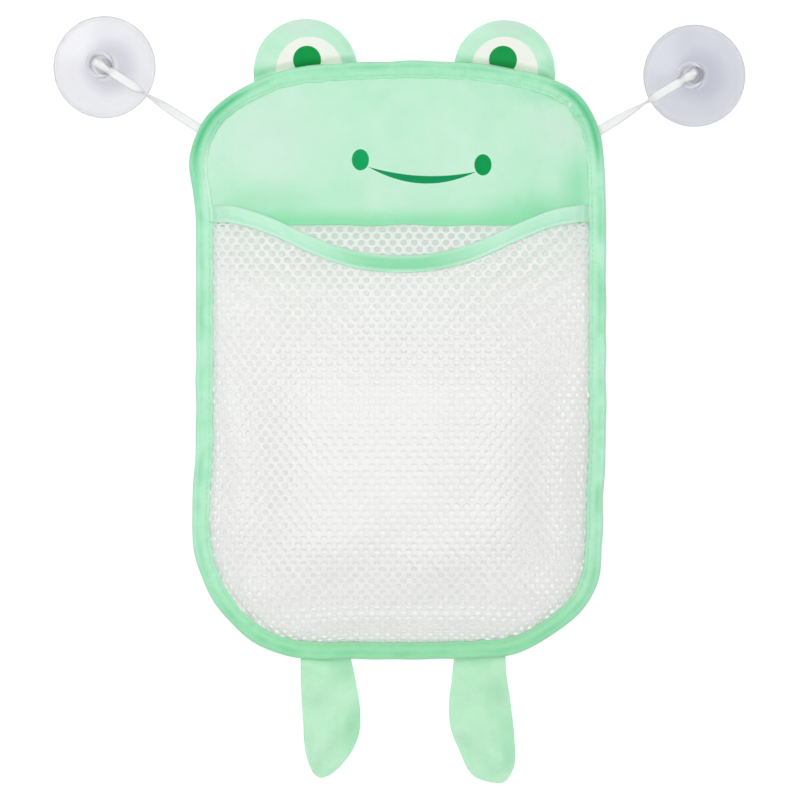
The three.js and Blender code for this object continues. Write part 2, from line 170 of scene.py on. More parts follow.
@dataclass(frozen=True)
class BagOutline:
    """The cut of the bag: straight sides between two rounded ends."""

    half_width: float = 0.110
    top: float = 0.0044
    bottom: float = -0.3161
    top_round: float = 0.0665
    bottom_round: float = 0.097
    top_power: float = 3.1
    bottom_power: float = 3.27
    plane: float = -0.015
    tape: float = 0.009
    inner_inset: float = 0.0093

    @property
    def top_line(self) -> float:
        """Height where the upper round starts."""
        return self.top - self.top_round

    @property
    def bottom_line(self) -> float:
        """Height where the lower round starts."""
        return self.bottom + self.bottom_round

    @property
    def inner_half(self) -> float:
        """Half the width between the tapes."""
        return self.half_width - self.inner_inset

    def rounded_off(self, x: Array, inset: float, power: float) -> Array:
        """Which part of a rounded end's height is left at each x."""
        share = np.minimum(1, np.abs(x) / (self.half_width - inset))
        return (1 - share**power) ** (1 / power)

    def top_edge(self, x: Array, inset: float = 0.0) -> Array:
        """Height of the upper edge, moved in by inset, at each x."""
        return self.top_line + (self.top_round - inset) * self.rounded_off(x, inset, self.top_power)

    def bottom_edge(self, x: Array, inset: float = 0.0) -> Array:
        """Height of the lower edge, moved in by inset, at each x."""
        return self.bottom_line - (self.bottom_round - inset) * self.rounded_off(x, inset, self.bottom_power)

    def quarter(self, height: float, power: float) -> Array:
        """Points and outward normals from the side to the middle of a rounded end.

        Args:
            height: How tall the rounded end is.
            power: How square it is.

        Returns:
            Rows of x, z, normal x and normal z.
        """
        turn = np.linspace(0, np.pi / 2, 600)
        x = self.half_width * np.cos(turn) ** (2 / power)
        z = height * np.abs(np.sin(turn)) ** (2 / power)
        across = (x / self.half_width) ** (power - 1) / self.half_width
        along = (z / height) ** (power - 1) / height
        length = np.hypot(across, along)
        return np.stack([x, z, across / length, along / length], axis=1)

    def line(self) -> Array:
        """The whole outline from the right side over the top, as the rows of quarter.

        Returns:
            Rows of x, z, normal x and normal z.
        """
        top = self.quarter(self.top_round, self.top_power)
        low = self.quarter(self.bottom_round, self.bottom_power) * [1, -1, 1, -1]
        top[:, 1] += self.top_line
        low[:, 1] += self.bottom_line
        left_top, left_low = top[::-1] * [-1, 1, -1, 1], low * [-1, 1, -1, 1]
        return np.concatenate([top, left_top[1:], left_low, low[::-1][1:], top[:1]])

    @property
    def length(self) -> float:
        """The way round the outline."""
        return float(np.hypot(*np.diff(self.line()[:, :2], axis=0).T).sum())

    def walk(self, share: Array) -> Array:
        """Points and outward normals at shares of the way round the outline.

        Args:
            share: How far round, from 0 to 1.

        Returns:
            Rows of x, z, normal x and normal z.
        """
        rows = self.line()
        reach = reach_along(rows[:, 0], rows[:, 1])
        found = [np.interp(share * reach[-1], reach, column) for column in rows.T]
        return np.stack(found, axis=1)

    def holds(self, x: Array, z: Array, inset: float) -> Array:
        """Whether points lie inside the outline moved in by inset."""
        beside = np.abs(x) < self.half_width - inset
        return beside & (z > self.bottom_edge(x, inset)) & (z < self.top_edge(x, inset))


@dataclass(frozen=True)
class PocketShape:
    """How the front net lies: bowed at its rim and bellied further down."""

    bag: BagOutline = field(default_factory=BagOutline)
    layer: float = -0.01555
    rim_end_x: float = 0.0983
    rim_end_z: float = -0.0771
    rim_dip: float = 0.027
    rim_dip_power: float = 1.2
    rim_bow: float = 0.022
    rim_lift: float = 0.0024
    belly: float = 0.048
    belly_z: float = -0.2206
    power: float = 0.75

    def rim(self, x: Array) -> Array:
        """Height of the middle of the rim tape at each x."""
        reach = np.minimum(1, np.abs(x) / self.rim_end_x) ** self.rim_dip_power
        return self.rim_end_z - self.rim_dip * (1 + np.cos(np.pi * reach)) / 2

    def share(self, x: Array, z: Array) -> Array:
        """How far out points lie, 0 in the middle and 1 at the edge tape.

        Args:
            x: Distances from the middle.
            z: Heights.

        Returns:
            Shares from 0 to 1.
        """
        bag = self.bag
        across = np.abs(x) / bag.inner_half
        along = np.maximum(0, bag.bottom_line - z) / (bag.bottom_round - bag.inner_inset)
        power = bag.bottom_power
        return np.minimum(1, (across**power + along**power) ** (1 / power))

    def depth(self, x: Array, z: Array) -> Array:
        """Where the middle of the net lies in y at each point.

        Args:
            x: Distances from the middle.
            z: Heights.

        Returns:
            A y for each point.
        """
        share = self.share(x, z)
        low = self.rim_end_z - self.rim_dip
        down = ease((low - z) / (low - self.belly_z))
        near = (1 - share) * self.bag.inner_half / (self.bag.inner_half - self.rim_end_x)
        bulge = mixed(self.rim_bow, self.belly, down) * (1 - share**2) ** self.power
        return self.layer - self.rim_lift * np.minimum(1, near) - bulge


@dataclass(frozen=True)
class Pull:
    """A place where the hanging bag is pulled out of its even cut."""

    x: float
    z: float
    wide: float
    tall: float
    move_x: float = 0.0
    move_z: float = 0.0

    def at(self, corners: Array) -> Array:
        """How far each point is moved, as rows of x, y and z."""
        away = np.hypot((corners[:, 0] - self.x) / self.wide, (corners[:, 2] - self.z) / self.tall)
        return ease(1 - away)[:, None] * [self.move_x, 0.0, self.move_z]


# Where the hanging bag is pulled out of its cut, from its upper left corner round to its foot
PULLS = (
    Pull(-0.110, -0.048, 0.050, 0.033, move_x=-0.0038),
    Pull(-0.086, -0.006, 0.028, 0.030, move_z=-0.0022),
    Pull(0.110, -0.045, 0.040, 0.030, move_x=-0.0009),
    Pull(0.093, -0.012, 0.030, 0.030, move_z=0.0014),
    Pull(0.012, 0.004, 0.045, 0.030, move_z=0.0008),
    Pull(-0.110, -0.252, 0.050, 0.060, move_x=-0.0027),
    Pull(-0.066, -0.308, 0.045, 0.050, move_z=-0.0029),
    Pull(0.110, -0.235, 0.040, 0.040, move_x=-0.0015),
    Pull(0.100, -0.287, 0.035, 0.035, move_x=0.0018),
    Pull(0.060, -0.311, 0.026, 0.040, move_z=-0.0017),
    Pull(0.090, -0.300, 0.026, 0.026, move_z=0.0012),
)


# Meshes and pieces

# Half of a stitch's length, width and height
STITCH = (0.00105, 0.00025, 0.0002)


def sheet_grid(columns: int, rows: int, place: Place, ring: bool = False) -> Mesh:
    """A grid of quads with a UV map, bent into shape.

    Args:
        columns: How many quads there are along the sheet.
        rows: How many quads there are across it.
        place: Gives the points for shares along and across.
        ring: Whether the sheet's two ends are joined.

    Returns:
        The bent grid.
    """
    made = bmesh.new()
    made.loops.layers.uv.new("UVMap")
    bmesh.ops.create_grid(made, x_segments=columns, y_segments=rows, size=1, calc_uvs=True)
    flat = np.array([vert.co for vert in made.verts])
    placed = place((flat[:, 0] + 1) / 2, (flat[:, 1] + 1) / 2)
    for vert, point in zip(made.verts, placed):
        vert.co = point
    if ring:
        bmesh.ops.remove_doubles(made, verts=made.verts, dist=1e-6)
    return made


def points(x: Array, y: Array, z: Array) -> Array:
    """Rows of x, y and z."""
    return np.stack(np.broadcast_arrays(x, y, z), axis=1)


def piece_from(made: Mesh, name: str, material: Material) -> Piece:
    """Turns a bmesh into a smooth-shaded piece of the scene.

    Args:
        made: The mesh, which is freed.
        name: The piece's name.
        material: What it is made of.

    Returns:
        The new object at the origin.
    """
    mesh = bpy.data.meshes.new(name)
    made.to_mesh(mesh)
    made.free()
    mesh.shade_smooth()
    mesh.materials.append(material)
    made_piece = bpy.data.objects.new(name, mesh)
    bpy.context.scene.collection.objects.link(made_piece)
    return made_piece


def thickened(piece: Piece, thickness: float) -> Piece:
    """Gives a cloth its thickness, half to each side.

    Args:
        piece: The cloth.
        thickness: From one face to the other.

    Returns:
        The same piece.
    """
    solidify = piece.modifiers.new("cloth", "SOLIDIFY")
    solidify.thickness = thickness
    solidify.offset = 0
    shading = piece.modifiers.new("shading", "WEIGHTED_NORMAL")
    shading.mode, shading.weight = "FACE_AREA", 90
    return piece


def closed(made: Mesh, name: str, material: Material) -> Piece:
    """A piece from a closed mesh, with its doubles merged and its faces turned outwards.

    Args:
        made: The mesh, which is freed.
        name: The piece's name.
        material: What it is made of.

    Returns:
        The new piece.
    """
    bmesh.ops.remove_doubles(made, verts=made.verts, dist=1e-6)
    bmesh.ops.recalc_face_normals(made, faces=made.faces)
    return piece_from(made, name, material)


def vertices(piece: Piece) -> Array:
    """The points of a piece's mesh, one row each.

    Args:
        piece: The piece.

    Returns:
        Rows of x, y and z.
    """
    found = np.empty(len(piece.data.vertices) * 3)
    piece.data.vertices.foreach_get("co", found)
    return found.reshape(-1, 3)


def hung(piece: Piece) -> Piece:
    """Moves a piece's points with the pulls that shape the hanging bag.

    Args:
        piece: The piece.

    Returns:
        The same piece.
    """
    rows = vertices(piece)
    rows += sum(pull.at(rows) for pull in PULLS)
    piece.data.vertices.foreach_set("co", rows.ravel())
    return piece


def follow(piece: Piece, still: str, moving: str, weights: Callable[[Array], Array]) -> Piece:
    """Makes a piece bend between two bodies, each point by its own share.

    Args:
        piece: The piece, with its mesh final.
        still: The body that it is sewn to.
        moving: The body that turns on it.
        weights: How much each point goes with the moving body, from 0 to 1.

    Returns:
        The same piece.
    """
    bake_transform(piece, still, moving, start=(0, 0, 0), end=(0, 0, 1))
    shares = piece.data.attributes["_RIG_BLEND"]
    shares.data.foreach_set("value", weights(vertices(piece)).astype(np.float32))
    return piece


def flat_area(piece: Piece) -> float:
    """The area of a piece's mesh as seen from the front, before it was bulged or folded.

    Args:
        piece: The piece.

    Returns:
        Square metres.
    """
    made = bmesh.new()
    made.from_mesh(piece.data)
    for vert in made.verts:
        vert.co.y = 0
    total = sum(face.calc_area() for face in made.faces)
    made.free()
    return total


def sewn_thread(
    name: str, rows: Array, ahead: Array, outward: Array, material: Material
) -> Piece:
    """A row of stitches.

    Args:
        name: The piece's name.
        rows: The middle of each stitch.
        ahead: The way that each stitch runs.
        outward: The way out of the cloth at each stitch.
        material: The thread.

    Returns:
        One piece with all the stitches.
    """
    made = bmesh.new()
    bmesh.ops.create_uvsphere(made, u_segments=8, v_segments=5, radius=1)
    apart = 4.0
    repeat(made, (apart, 0, 0), len(rows) - 1)
    local = np.array([vert.co for vert in made.verts])
    number = np.rint(local[:, 0] / apart).astype(int)
    local[:, 0] -= apart * number
    along = ahead / np.linalg.norm(ahead, axis=1, keepdims=True)
    local *= STITCH
    placed = rows[number] + local[:, :1] * along[number] + local[:, 2:] * outward[number]
    placed += local[:, 1:2] * np.cross(outward, along)[number]
    for vert, point in zip(made.verts, placed):
        vert.co = point
    return piece_from(made, name, material)


def repeat(made: Mesh, step: tuple[float, float, float], times: int) -> None:
    """Repeats all that is in a mesh along a step.

    Args:
        made: The mesh.
        step: How far each copy lies from the one before it.
        times: How many copies are added.
    """
    geometry = made.verts[:] + made.edges[:] + made.faces[:]
    bmesh.ops.spin(
        made, geom=geometry, cent=(0, 0, 0), axis=(0, 0, 1), dvec=step,
        angle=0, steps=times, use_duplicate=True,
    )


# Shader nodes


def linear(colour: Colour) -> tuple[float, float, float, float]:
    """A colour of 0 to 255 as the light values that a shader wants."""
    return (*((value / 255) ** 2.2 for value in colour), 1.0)


class Wiring:
    """Adds nodes to one node tree and joins them."""

    def __init__(self, tree: bpy.types.NodeTree) -> None:
        """Keeps the tree that the nodes go into."""
        self.tree = tree

    def add(
        self, kind: str, inputs: dict[str | int, object] | None = None, **settings: object
    ) -> bpy.types.Node:
        """Adds a node.

        Args:
            kind: The node's type.
            inputs: A value, or a socket to join, for each input.
            settings: The node's own properties.

        Returns:
            The new node.
        """
        node = self.tree.nodes.new(kind)
        for key, value in settings.items():
            setattr(node, key, value)
        for key, value in (inputs or {}).items():
            if isinstance(value, Socket):
                self.join(value, node, key)
            else:
                node.inputs[key].default_value = value
        return node

    def join(self, value: Socket, node: bpy.types.Node, name: str | int) -> None:
        """Joins a value to a node's input."""
        self.tree.links.new(value, node.inputs[name])

    def math(self, operation: str, first: object, second: object = 0.0) -> Socket:
        """A math node's result."""
        return self.add("ShaderNodeMath", {0: first, 1: second}, operation=operation).outputs[0]

    def plus(self, first: object, second: object) -> Socket:
        """The sum of two values."""
        return self.math("ADD", first, second)

    def less(self, first: object, second: object) -> Socket:
        """The first value less the second."""
        return self.math("SUBTRACT", first, second)

    def times(self, first: object, second: object) -> Socket:
        """The product of two values."""
        return self.math("MULTIPLY", first, second)

    def unsigned(self, value: Socket) -> Socket:
        """A value without its sign."""
        return self.math("ABSOLUTE", value)

    def scaled(self, value: Socket, zero: float, size: float) -> Socket:
        """How many sizes a value lies past a zero."""
        return self.math("DIVIDE", self.less(value, zero), size)

    def powers(self, first: Socket, second: Socket, power: float) -> Socket:
        """The sum of two values, each raised to a power."""
        return self.plus(self.math("POWER", first, power), self.math("POWER", second, power))

    def distance(self, first: Socket, second: Socket) -> Socket:
        """How far a point is from nothing, from its two parts."""
        return self.math("SQRT", self.powers(first, second, 2.0))

    def blend(self, share: object, first: object, second: object) -> Socket:
        """The colour a share of the way from the first to the second."""
        node = self.add("ShaderNodeMix", {0: share, 6: first, 7: second}, data_type="RGBA")
        return node.outputs[2]

    def ranged(self, value: Socket, low: float, high: float, to_low: object, to_high: object) -> Socket:
        """A value moved from one range to another and cut there."""
        inputs = {0: value, 1: low, 2: high, 3: to_low, 4: to_high}
        return self.add("ShaderNodeMapRange", inputs).outputs[0]

    def softly_ranged(self, value: Socket, low: float, high: float, to_low: float, to_high: float) -> Socket:
        """A value moved to another range along a soft step."""
        inputs = {0: value, 1: low, 2: high, 3: to_low, 4: to_high}
        return self.add("ShaderNodeMapRange", inputs, interpolation_type="SMOOTHSTEP").outputs[0]

    def noise(self, vector: Socket, size: object, detail: float = 2.0) -> Socket:
        """Soft noise whose spots are about as large as size."""
        inputs = {"Vector": vector, "Scale": self.math("DIVIDE", 1.0, size), "Detail": detail}
        return self.add("ShaderNodeTexNoise", inputs).outputs["Fac"]

    def split(self, vector: Socket) -> tuple[Socket, Socket, Socket]:
        """The three parts of a vector."""
        node = self.add("ShaderNodeSeparateXYZ", {0: vector})
        return node.outputs[0], node.outputs[1], node.outputs[2]

    def coordinates(self, kind: str) -> Socket:
        """One of the texture coordinates."""
        return self.add("ShaderNodeTexCoord").outputs[kind]

    def from_front(self, place: Socket) -> tuple[Socket, Socket, Socket]:
        """Coordinates as the front shows them, with the height in the second place.

        Args:
            place: The object coordinates.

        Returns:
            The coordinates, then x and z.
        """
        x, y, z = self.split(place)
        return self.add("ShaderNodeCombineXYZ", {0: x, 1: z, 2: y}).outputs[0], x, z

    def bump(self, height: Socket, strength: float = 1.0) -> Socket:
        """The normals of a surface that rises by a height in metres."""
        inputs = {"Height": height, "Distance": 1.0, "Strength": strength}
        return self.add("ShaderNodeBump", inputs).outputs[0]


def principled(name: str) -> tuple[Material, Wiring, bpy.types.Node]:
    """Starts a material.

    Args:
        name: The material's name.

    Returns:
        The material, what joins its nodes, and its shader.
    """
    made = bpy.data.materials.new(name)
    made.use_nodes = True
    return made, Wiring(made.node_tree), made.node_tree.nodes["Principled BSDF"]


class Effect(Enum):
    """Surface effects that several finishes share, each a node group."""

    WEAVE = "plain_weave"
    RIBS = "thread_ribs"
    CLOUDS = "colour_clouds"
    CREASES = "soft_creases"


class Effects:
    """Builds each shared effect once and places it in materials."""

    def __init__(self) -> None:
        """Starts with no groups."""
        self.groups: dict[Effect, bpy.types.NodeTree] = {}

    def place(self, wiring: Wiring, effect: Effect, vector: Socket, size: float) -> Socket:
        """Adds an effect to a material.

        Args:
            wiring: The material's nodes.
            effect: Which effect.
            vector: The coordinates that it follows.
            size: The spacing of its threads, clouds or creases.

        Returns:
            The effect's value, from 0 to 1.
        """
        if effect not in self.groups:
            self.groups[effect] = self.build(effect)
        node = wiring.add("ShaderNodeGroup", node_tree=self.groups[effect])
        wiring.join(vector, node, "Vector")
        node.inputs["Size"].default_value = size
        return node.outputs["Value"]

    def build(self, effect: Effect) -> bpy.types.NodeTree:
        """Makes the node group of an effect.

        Args:
            effect: Which effect.

        Returns:
            The group.
        """
        tree = bpy.data.node_groups.new(effect.value, "ShaderNodeTree")
        tree.interface.new_socket(name="Vector", in_out="INPUT", socket_type="NodeSocketVector")
        tree.interface.new_socket(name="Size", in_out="INPUT", socket_type="NodeSocketFloat")
        tree.interface.new_socket(name="Value", in_out="OUTPUT", socket_type="NodeSocketFloat")
        wiring = Wiring(tree)
        given = wiring.add("NodeGroupInput").outputs
        makers = {
            Effect.WEAVE: self.weave,
            Effect.RIBS: self.ribs,
            Effect.CLOUDS: self.clouds,
            Effect.CREASES: self.creases,
        }
        value = makers[effect](wiring, given["Vector"], given["Size"])
        wiring.add("NodeGroupOutput", {"Value": value})
        return tree

    @staticmethod
    def wave(wiring: Wiring, part: Socket, size: Socket) -> Socket:
        """A wave with one crest in each two sizes of a coordinate."""
        turns = wiring.times(wiring.math("DIVIDE", part, size), math.pi)
        return wiring.math("SINE", turns)

    def weave(self, wiring: Wiring, vector: Socket, size: Socket) -> Socket:
        """Threads that pass over and under each other.

        Args:
            wiring: The group's nodes.
            vector: The coordinates that it follows.
            size: How far apart its parts lie.

        Returns:
            The height of the threads.
        """
        x, y, _ = wiring.split(vector)
        warp, weft = self.wave(wiring, x, size), self.wave(wiring, y, size)
        over = wiring.math("GREATER_THAN", wiring.times(warp, weft), 0.0)
        under = wiring.less(1.0, over)
        up = wiring.times(wiring.unsigned(warp), over)
        return wiring.plus(up, wiring.times(wiring.unsigned(weft), under))

    def ribs(self, wiring: Wiring, vector: Socket, size: Socket) -> Socket:
        """Cords side by side along the first coordinate, crossed by finer ones.

        Args:
            wiring: The group's nodes.
            vector: The coordinates that it follows.
            size: How far apart its parts lie.

        Returns:
            The height of the cords.
        """
        x, y, _ = wiring.split(vector)
        cords = wiring.unsigned(self.wave(wiring, y, size))
        cross = wiring.unsigned(self.wave(wiring, x, size))
        return wiring.times(cords, wiring.ranged(cross, 0.0, 1.0, 0.6, 1.0))

    def clouds(self, wiring: Wiring, vector: Socket, size: Socket) -> Socket:
        """Large soft spots with smaller ones in them.

        Args:
            wiring: The group's nodes.
            vector: The coordinates that it follows.
            size: How far apart its parts lie.

        Returns:
            A value from 0 to 1.
        """
        large = wiring.noise(vector, size)
        small = wiring.noise(vector, wiring.times(size, 0.23), 3.0)
        both = wiring.plus(wiring.times(large, 0.7), wiring.times(small, 0.3))
        return wiring.ranged(both, 0.3, 0.7, 0.0, 1.0)

    def creases(self, wiring: Wiring, vector: Socket, size: Socket) -> Socket:
        """Narrow bent creases."""
        fold = wiring.unsigned(wiring.less(wiring.noise(vector, size, 3.0), 0.5))
        return wiring.ranged(fold, 0.0, 0.12, 0.0, 1.0)


effects = Effects()


class Coordinates(Enum):
    """What a cloth's pattern follows."""

    FRONT = "the cloth as it is seen from the front"
    ALONG = "the cloth's own length and width"


@dataclass(frozen=True)
class Print:
    """A printed spot: an oval whose lower part may be cut off by a slanted line."""

    colour: Colour
    x: float
    z: float
    wide: float
    tall: float
    cut_z: float | None = None
    cut_slope: float = 0.0

    def mask(self, wiring: Wiring, x: Socket, z: Socket) -> Socket:
        """Where the print lies, 1 on it and 0 off it.

        Args:
            wiring: The material's nodes.
            x: Places across.
            z: Heights.

        Returns:
            The mask.
        """
        across, along = wiring.scaled(x, self.x, self.wide), wiring.scaled(z, self.z, self.tall)
        inside = wiring.math("LESS_THAN", wiring.powers(across, along, 2.0), 1.0)
        if self.cut_z is None:
            return inside
        slant = wiring.times(wiring.less(x, self.x), self.cut_slope)
        above = wiring.math("GREATER_THAN", wiring.less(z, slant), self.cut_z)
        return wiring.times(inside, above)


@dataclass(frozen=True)
class Smile:
    """A printed mouth: the sliver between two arcs that share their ends."""

    colour: Colour
    left: tuple[float, float]
    right: tuple[float, float]
    upper_sag: float
    lower_sag: float

    def mask(self, wiring: Wiring, x: Socket, z: Socket) -> Socket:
        """Where the print lies, 1 on it and 0 off it.

        Args:
            wiring: The material's nodes.
            x: Places across.
            z: Heights.

        Returns:
            The mask.
        """
        span = self.right[0] - self.left[0]
        share = wiring.scaled(x, self.left[0], span)
        slope = wiring.times(share, self.right[1] - self.left[1])
        height = wiring.less(wiring.less(z, self.left[1]), slope)
        rest = wiring.less(1.0, share)
        bow = wiring.times(wiring.times(share, rest), -4.0)
        under = wiring.math("LESS_THAN", height, wiring.times(bow, self.upper_sag))
        over = wiring.math("GREATER_THAN", height, wiring.times(bow, self.lower_sag))
        return wiring.times(under, over)


class Axis(Enum):
    """The axes that a change of colour may follow."""

    ACROSS = 0
    UP = 2


@dataclass(frozen=True)
class Change:
    """A soft change of a surface's colour, painted to stand in for light or shade."""

    colour: Colour

    def apply(self, wiring: Wiring, colour: Socket, place: Socket) -> Socket:
        """Blends the change over a colour.

        Args:
            wiring: The material's nodes.
            colour: The colour so far.
            place: The object coordinates.

        Returns:
            The changed colour.
        """
        return wiring.blend(self.mask(wiring, *wiring.split(place)), colour, linear(self.colour))

    def mask(self, wiring: Wiring, x: Socket, y: Socket, z: Socket) -> Socket:
        """How much of the change shows at each point, as each kind of change has it."""
        raise NotImplementedError


@dataclass(frozen=True)
class PaintedShadeBand(Change):
    """A change to a darker colour along one axis: painted shade where a surface turns from the light or lies
    in the shade of other parts.
    """

    axis: Axis
    start: float
    end: float
    share: float = 1.0
    both_sides: bool = False

    def mask(self, wiring: Wiring, x: Socket, y: Socket, z: Socket) -> Socket:
        """How much of the change shows at each point."""
        part = (x, y, z)[self.axis.value]
        way = wiring.unsigned(part) if self.both_sides else part
        return wiring.softly_ranged(way, self.start, self.end, 0.0, self.share)


@dataclass(frozen=True)
class PaintedShadingSpot(Change):
    """A soft oval of painted light, where the cloth is paler than around it, or of painted shade, where it
    is darker.
    """

    x: float
    z: float
    wide: float
    tall: float
    share: float

    def mask(self, wiring: Wiring, x: Socket, y: Socket, z: Socket) -> Socket:
        """How much of the change shows at each point."""
        away = wiring.distance(wiring.scaled(x, self.x, self.wide), wiring.scaled(z, self.z, self.tall))
        return wiring.softly_ranged(away, 0.0, 1.0, self.share, 0.0)


# Where the bag's upper corners start and are whole, across and up
CORNER_ACROSS = (0.074, 0.09)
CORNER_UP = (-0.058, -0.04)


@dataclass(frozen=True)
class PaintedLine:
    """A line of another colour along a tape: painted shade in a groove or beside a roll, a painted highlight
    on a fold, or a paler edge.
    """

    colour: Colour
    inset: float
    width: float
    least: float
    most: float
    at_corners: float = 0.0

    def apply(
        self, wiring: Wiring, colour: Socket, from_fold: Socket, vector: Socket, place: Socket
    ) -> Socket:
        """Blends the painted line over a colour, patchily.

        Args:
            wiring: The material's nodes.
            colour: The colour so far.
            from_fold: How far a point lies from the tape's fold.
            vector: The pattern's coordinates.
            place: The object coordinates.

        Returns:
            The blended colour.
        """
        away = wiring.unsigned(wiring.less(from_fold, self.inset))
        near = wiring.softly_ranged(away, 0.0, self.width, 1.0, 0.0)
        share = wiring.ranged(wiring.noise(vector, 0.02), 0.38, 0.62, self.least, self.most)
        # Where at_corners is set, the painted shadow is deepest at the bag's upper corners.
        if self.at_corners:
            x, _, z = wiring.split(place)
            side = wiring.ranged(wiring.unsigned(x), *CORNER_ACROSS, 0.0, self.at_corners)
            high = wiring.ranged(z, *CORNER_UP, 0.0, 1.0)
            share = wiring.math("MAXIMUM", share, wiring.times(side, high))
        return wiring.blend(wiring.times(near, share), colour, linear(self.colour))


@dataclass(frozen=True)
class ClothFinish:
    """Woven cloth or tape with soft changes of colour, painted light and shade, creases and prints."""

    name: str
    colour: Colour
    shade: Colour
    effect: Effect = Effect.WEAVE
    coordinates: Coordinates = Coordinates.FRONT
    length: float = 1.0
    width: float = 1.0
    thread: float = 0.0004
    thread_height: float = 0.00006
    crease: float = 0.012
    crease_height: float = 0.00016
    cloud: float = 0.05
    roughness: float = 0.82
    sheen: float = 0.05
    painted_lines: tuple[PaintedLine, ...] = ()
    painted_shading: tuple[Change, ...] = ()
    prints: tuple[Print | Smile, ...] = ()

    def vector(self, wiring: Wiring) -> tuple[Socket, Socket, Socket]:
        """The pattern's coordinates, in metres on the cloth.

        Args:
            wiring: The material's nodes.

        Returns:
            The vector and its first two parts.
        """
        if self.coordinates is Coordinates.FRONT:
            return wiring.from_front(wiring.coordinates("Object"))
        scale = (self.length, self.width, 1.0)
        inputs = {"Vector": wiring.coordinates("UV"), "Scale": scale}
        vector = wiring.add("ShaderNodeMapping", inputs).outputs[0]
        first, second, _ = wiring.split(vector)
        return vector, first, second

    def printed(self, wiring: Wiring, colour: Socket, cloud: Socket, x: Socket, z: Socket) -> Socket:
        """Prints ink on the cloth's front, which shows a little at its back.

        Args:
            wiring: The material's nodes.
            colour: The colour so far.
            cloud: Where the ink is a little thinner.
            x: Places across.
            z: Heights.

        Returns:
            The printed colour.
        """
        facing = wiring.split(wiring.coordinates("Normal"))[1]
        soaked = wiring.ranged(facing, -0.1, 0.1, 1.0, 0.1)
        thin = wiring.ranged(cloud, 0.0, 1.0, 0.0, 0.03)
        for spot in self.prints:
            ink = wiring.blend(thin, linear(spot.colour), linear(self.shade))
            colour = wiring.blend(wiring.times(spot.mask(wiring, x, z), soaked), colour, ink)
        return colour

    def material(self) -> Material:
        """The cloth as a material.

        Returns:
            The material.
        """
        made, wiring, shader = principled(self.name)
        vector, x, z = self.vector(wiring)
        cloud = effects.place(wiring, Effect.CLOUDS, vector, self.cloud)
        thread = effects.place(wiring, self.effect, vector, self.thread)
        crease = effects.place(wiring, Effect.CREASES, vector, self.crease)
        colour = wiring.blend(cloud, linear(self.colour), linear(self.shade))
        # Painted shade in the hollows between the threads.
        colour = wiring.blend(wiring.ranged(thread, 0.0, 1.0, 0.22, 0.0), colour, linear(self.shade))
        place = wiring.coordinates("Object")
        # Painted light and shade over parts of the cloth, then its painted lines.
        for change in self.painted_shading:
            colour = change.apply(wiring, colour, place)
        for seam in self.painted_lines:
            from_fold = wiring.unsigned(wiring.less(z, self.width / 2))
            colour = seam.apply(wiring, colour, from_fold, vector, place)
        if self.prints:
            colour = self.printed(wiring, colour, cloud, x, z)
        raised = wiring.times(thread, self.thread_height)
        height = wiring.plus(raised, wiring.times(crease, self.crease_height))
        roughness = wiring.ranged(cloud, 0.0, 1.0, self.roughness - 0.05, self.roughness + 0.07)
        wiring.join(colour, shader, "Base Color")
        wiring.join(roughness, shader, "Roughness")
        wiring.join(wiring.bump(height), shader, "Normal")
        shader.inputs["Sheen Weight"].default_value = self.sheen
        shader.inputs["Sheen Roughness"].default_value = 0.4
        shader.inputs["Specular IOR Level"].default_value = 0.15
        return made


@dataclass(frozen=True)
class NetFinish:
    """White knitted polyester."""

    name: str
    colour: Colour = (249, 249, 246)
    shade: Colour = (243, 243, 240)
    stitch: float = 0.00055
    stitch_height: float = 0.00008
    painted_shading: tuple[Change, ...] = ()

    def material(self) -> Material:
        """The net as a material.

        Returns:
            The material.
        """
        made, wiring, shader = principled(self.name)
        place = wiring.coordinates("Object")
        vector, _, _ = wiring.from_front(place)
        loops = effects.place(wiring, Effect.RIBS, vector, self.stitch)
        cloud = effects.place(wiring, Effect.CLOUDS, vector, 0.03)
        colour = wiring.blend(cloud, linear(self.colour), linear(self.shade))
        for change in self.painted_shading:
            colour = change.apply(wiring, colour, place)
        normals = wiring.bump(wiring.times(loops, self.stitch_height))
        wiring.join(colour, shader, "Base Color")
        wiring.join(wiring.ranged(cloud, 0.0, 1.0, 0.6, 0.75), shader, "Roughness")
        wiring.join(normals, shader, "Normal")
        shader.inputs["Sheen Weight"].default_value = 0.15
        shader.inputs["Subsurface Weight"].default_value = 0.8
        shader.inputs["Subsurface Radius"].default_value = (1, 1, 1)
        shader.inputs["Subsurface Scale"].default_value = 0.0015
        return made


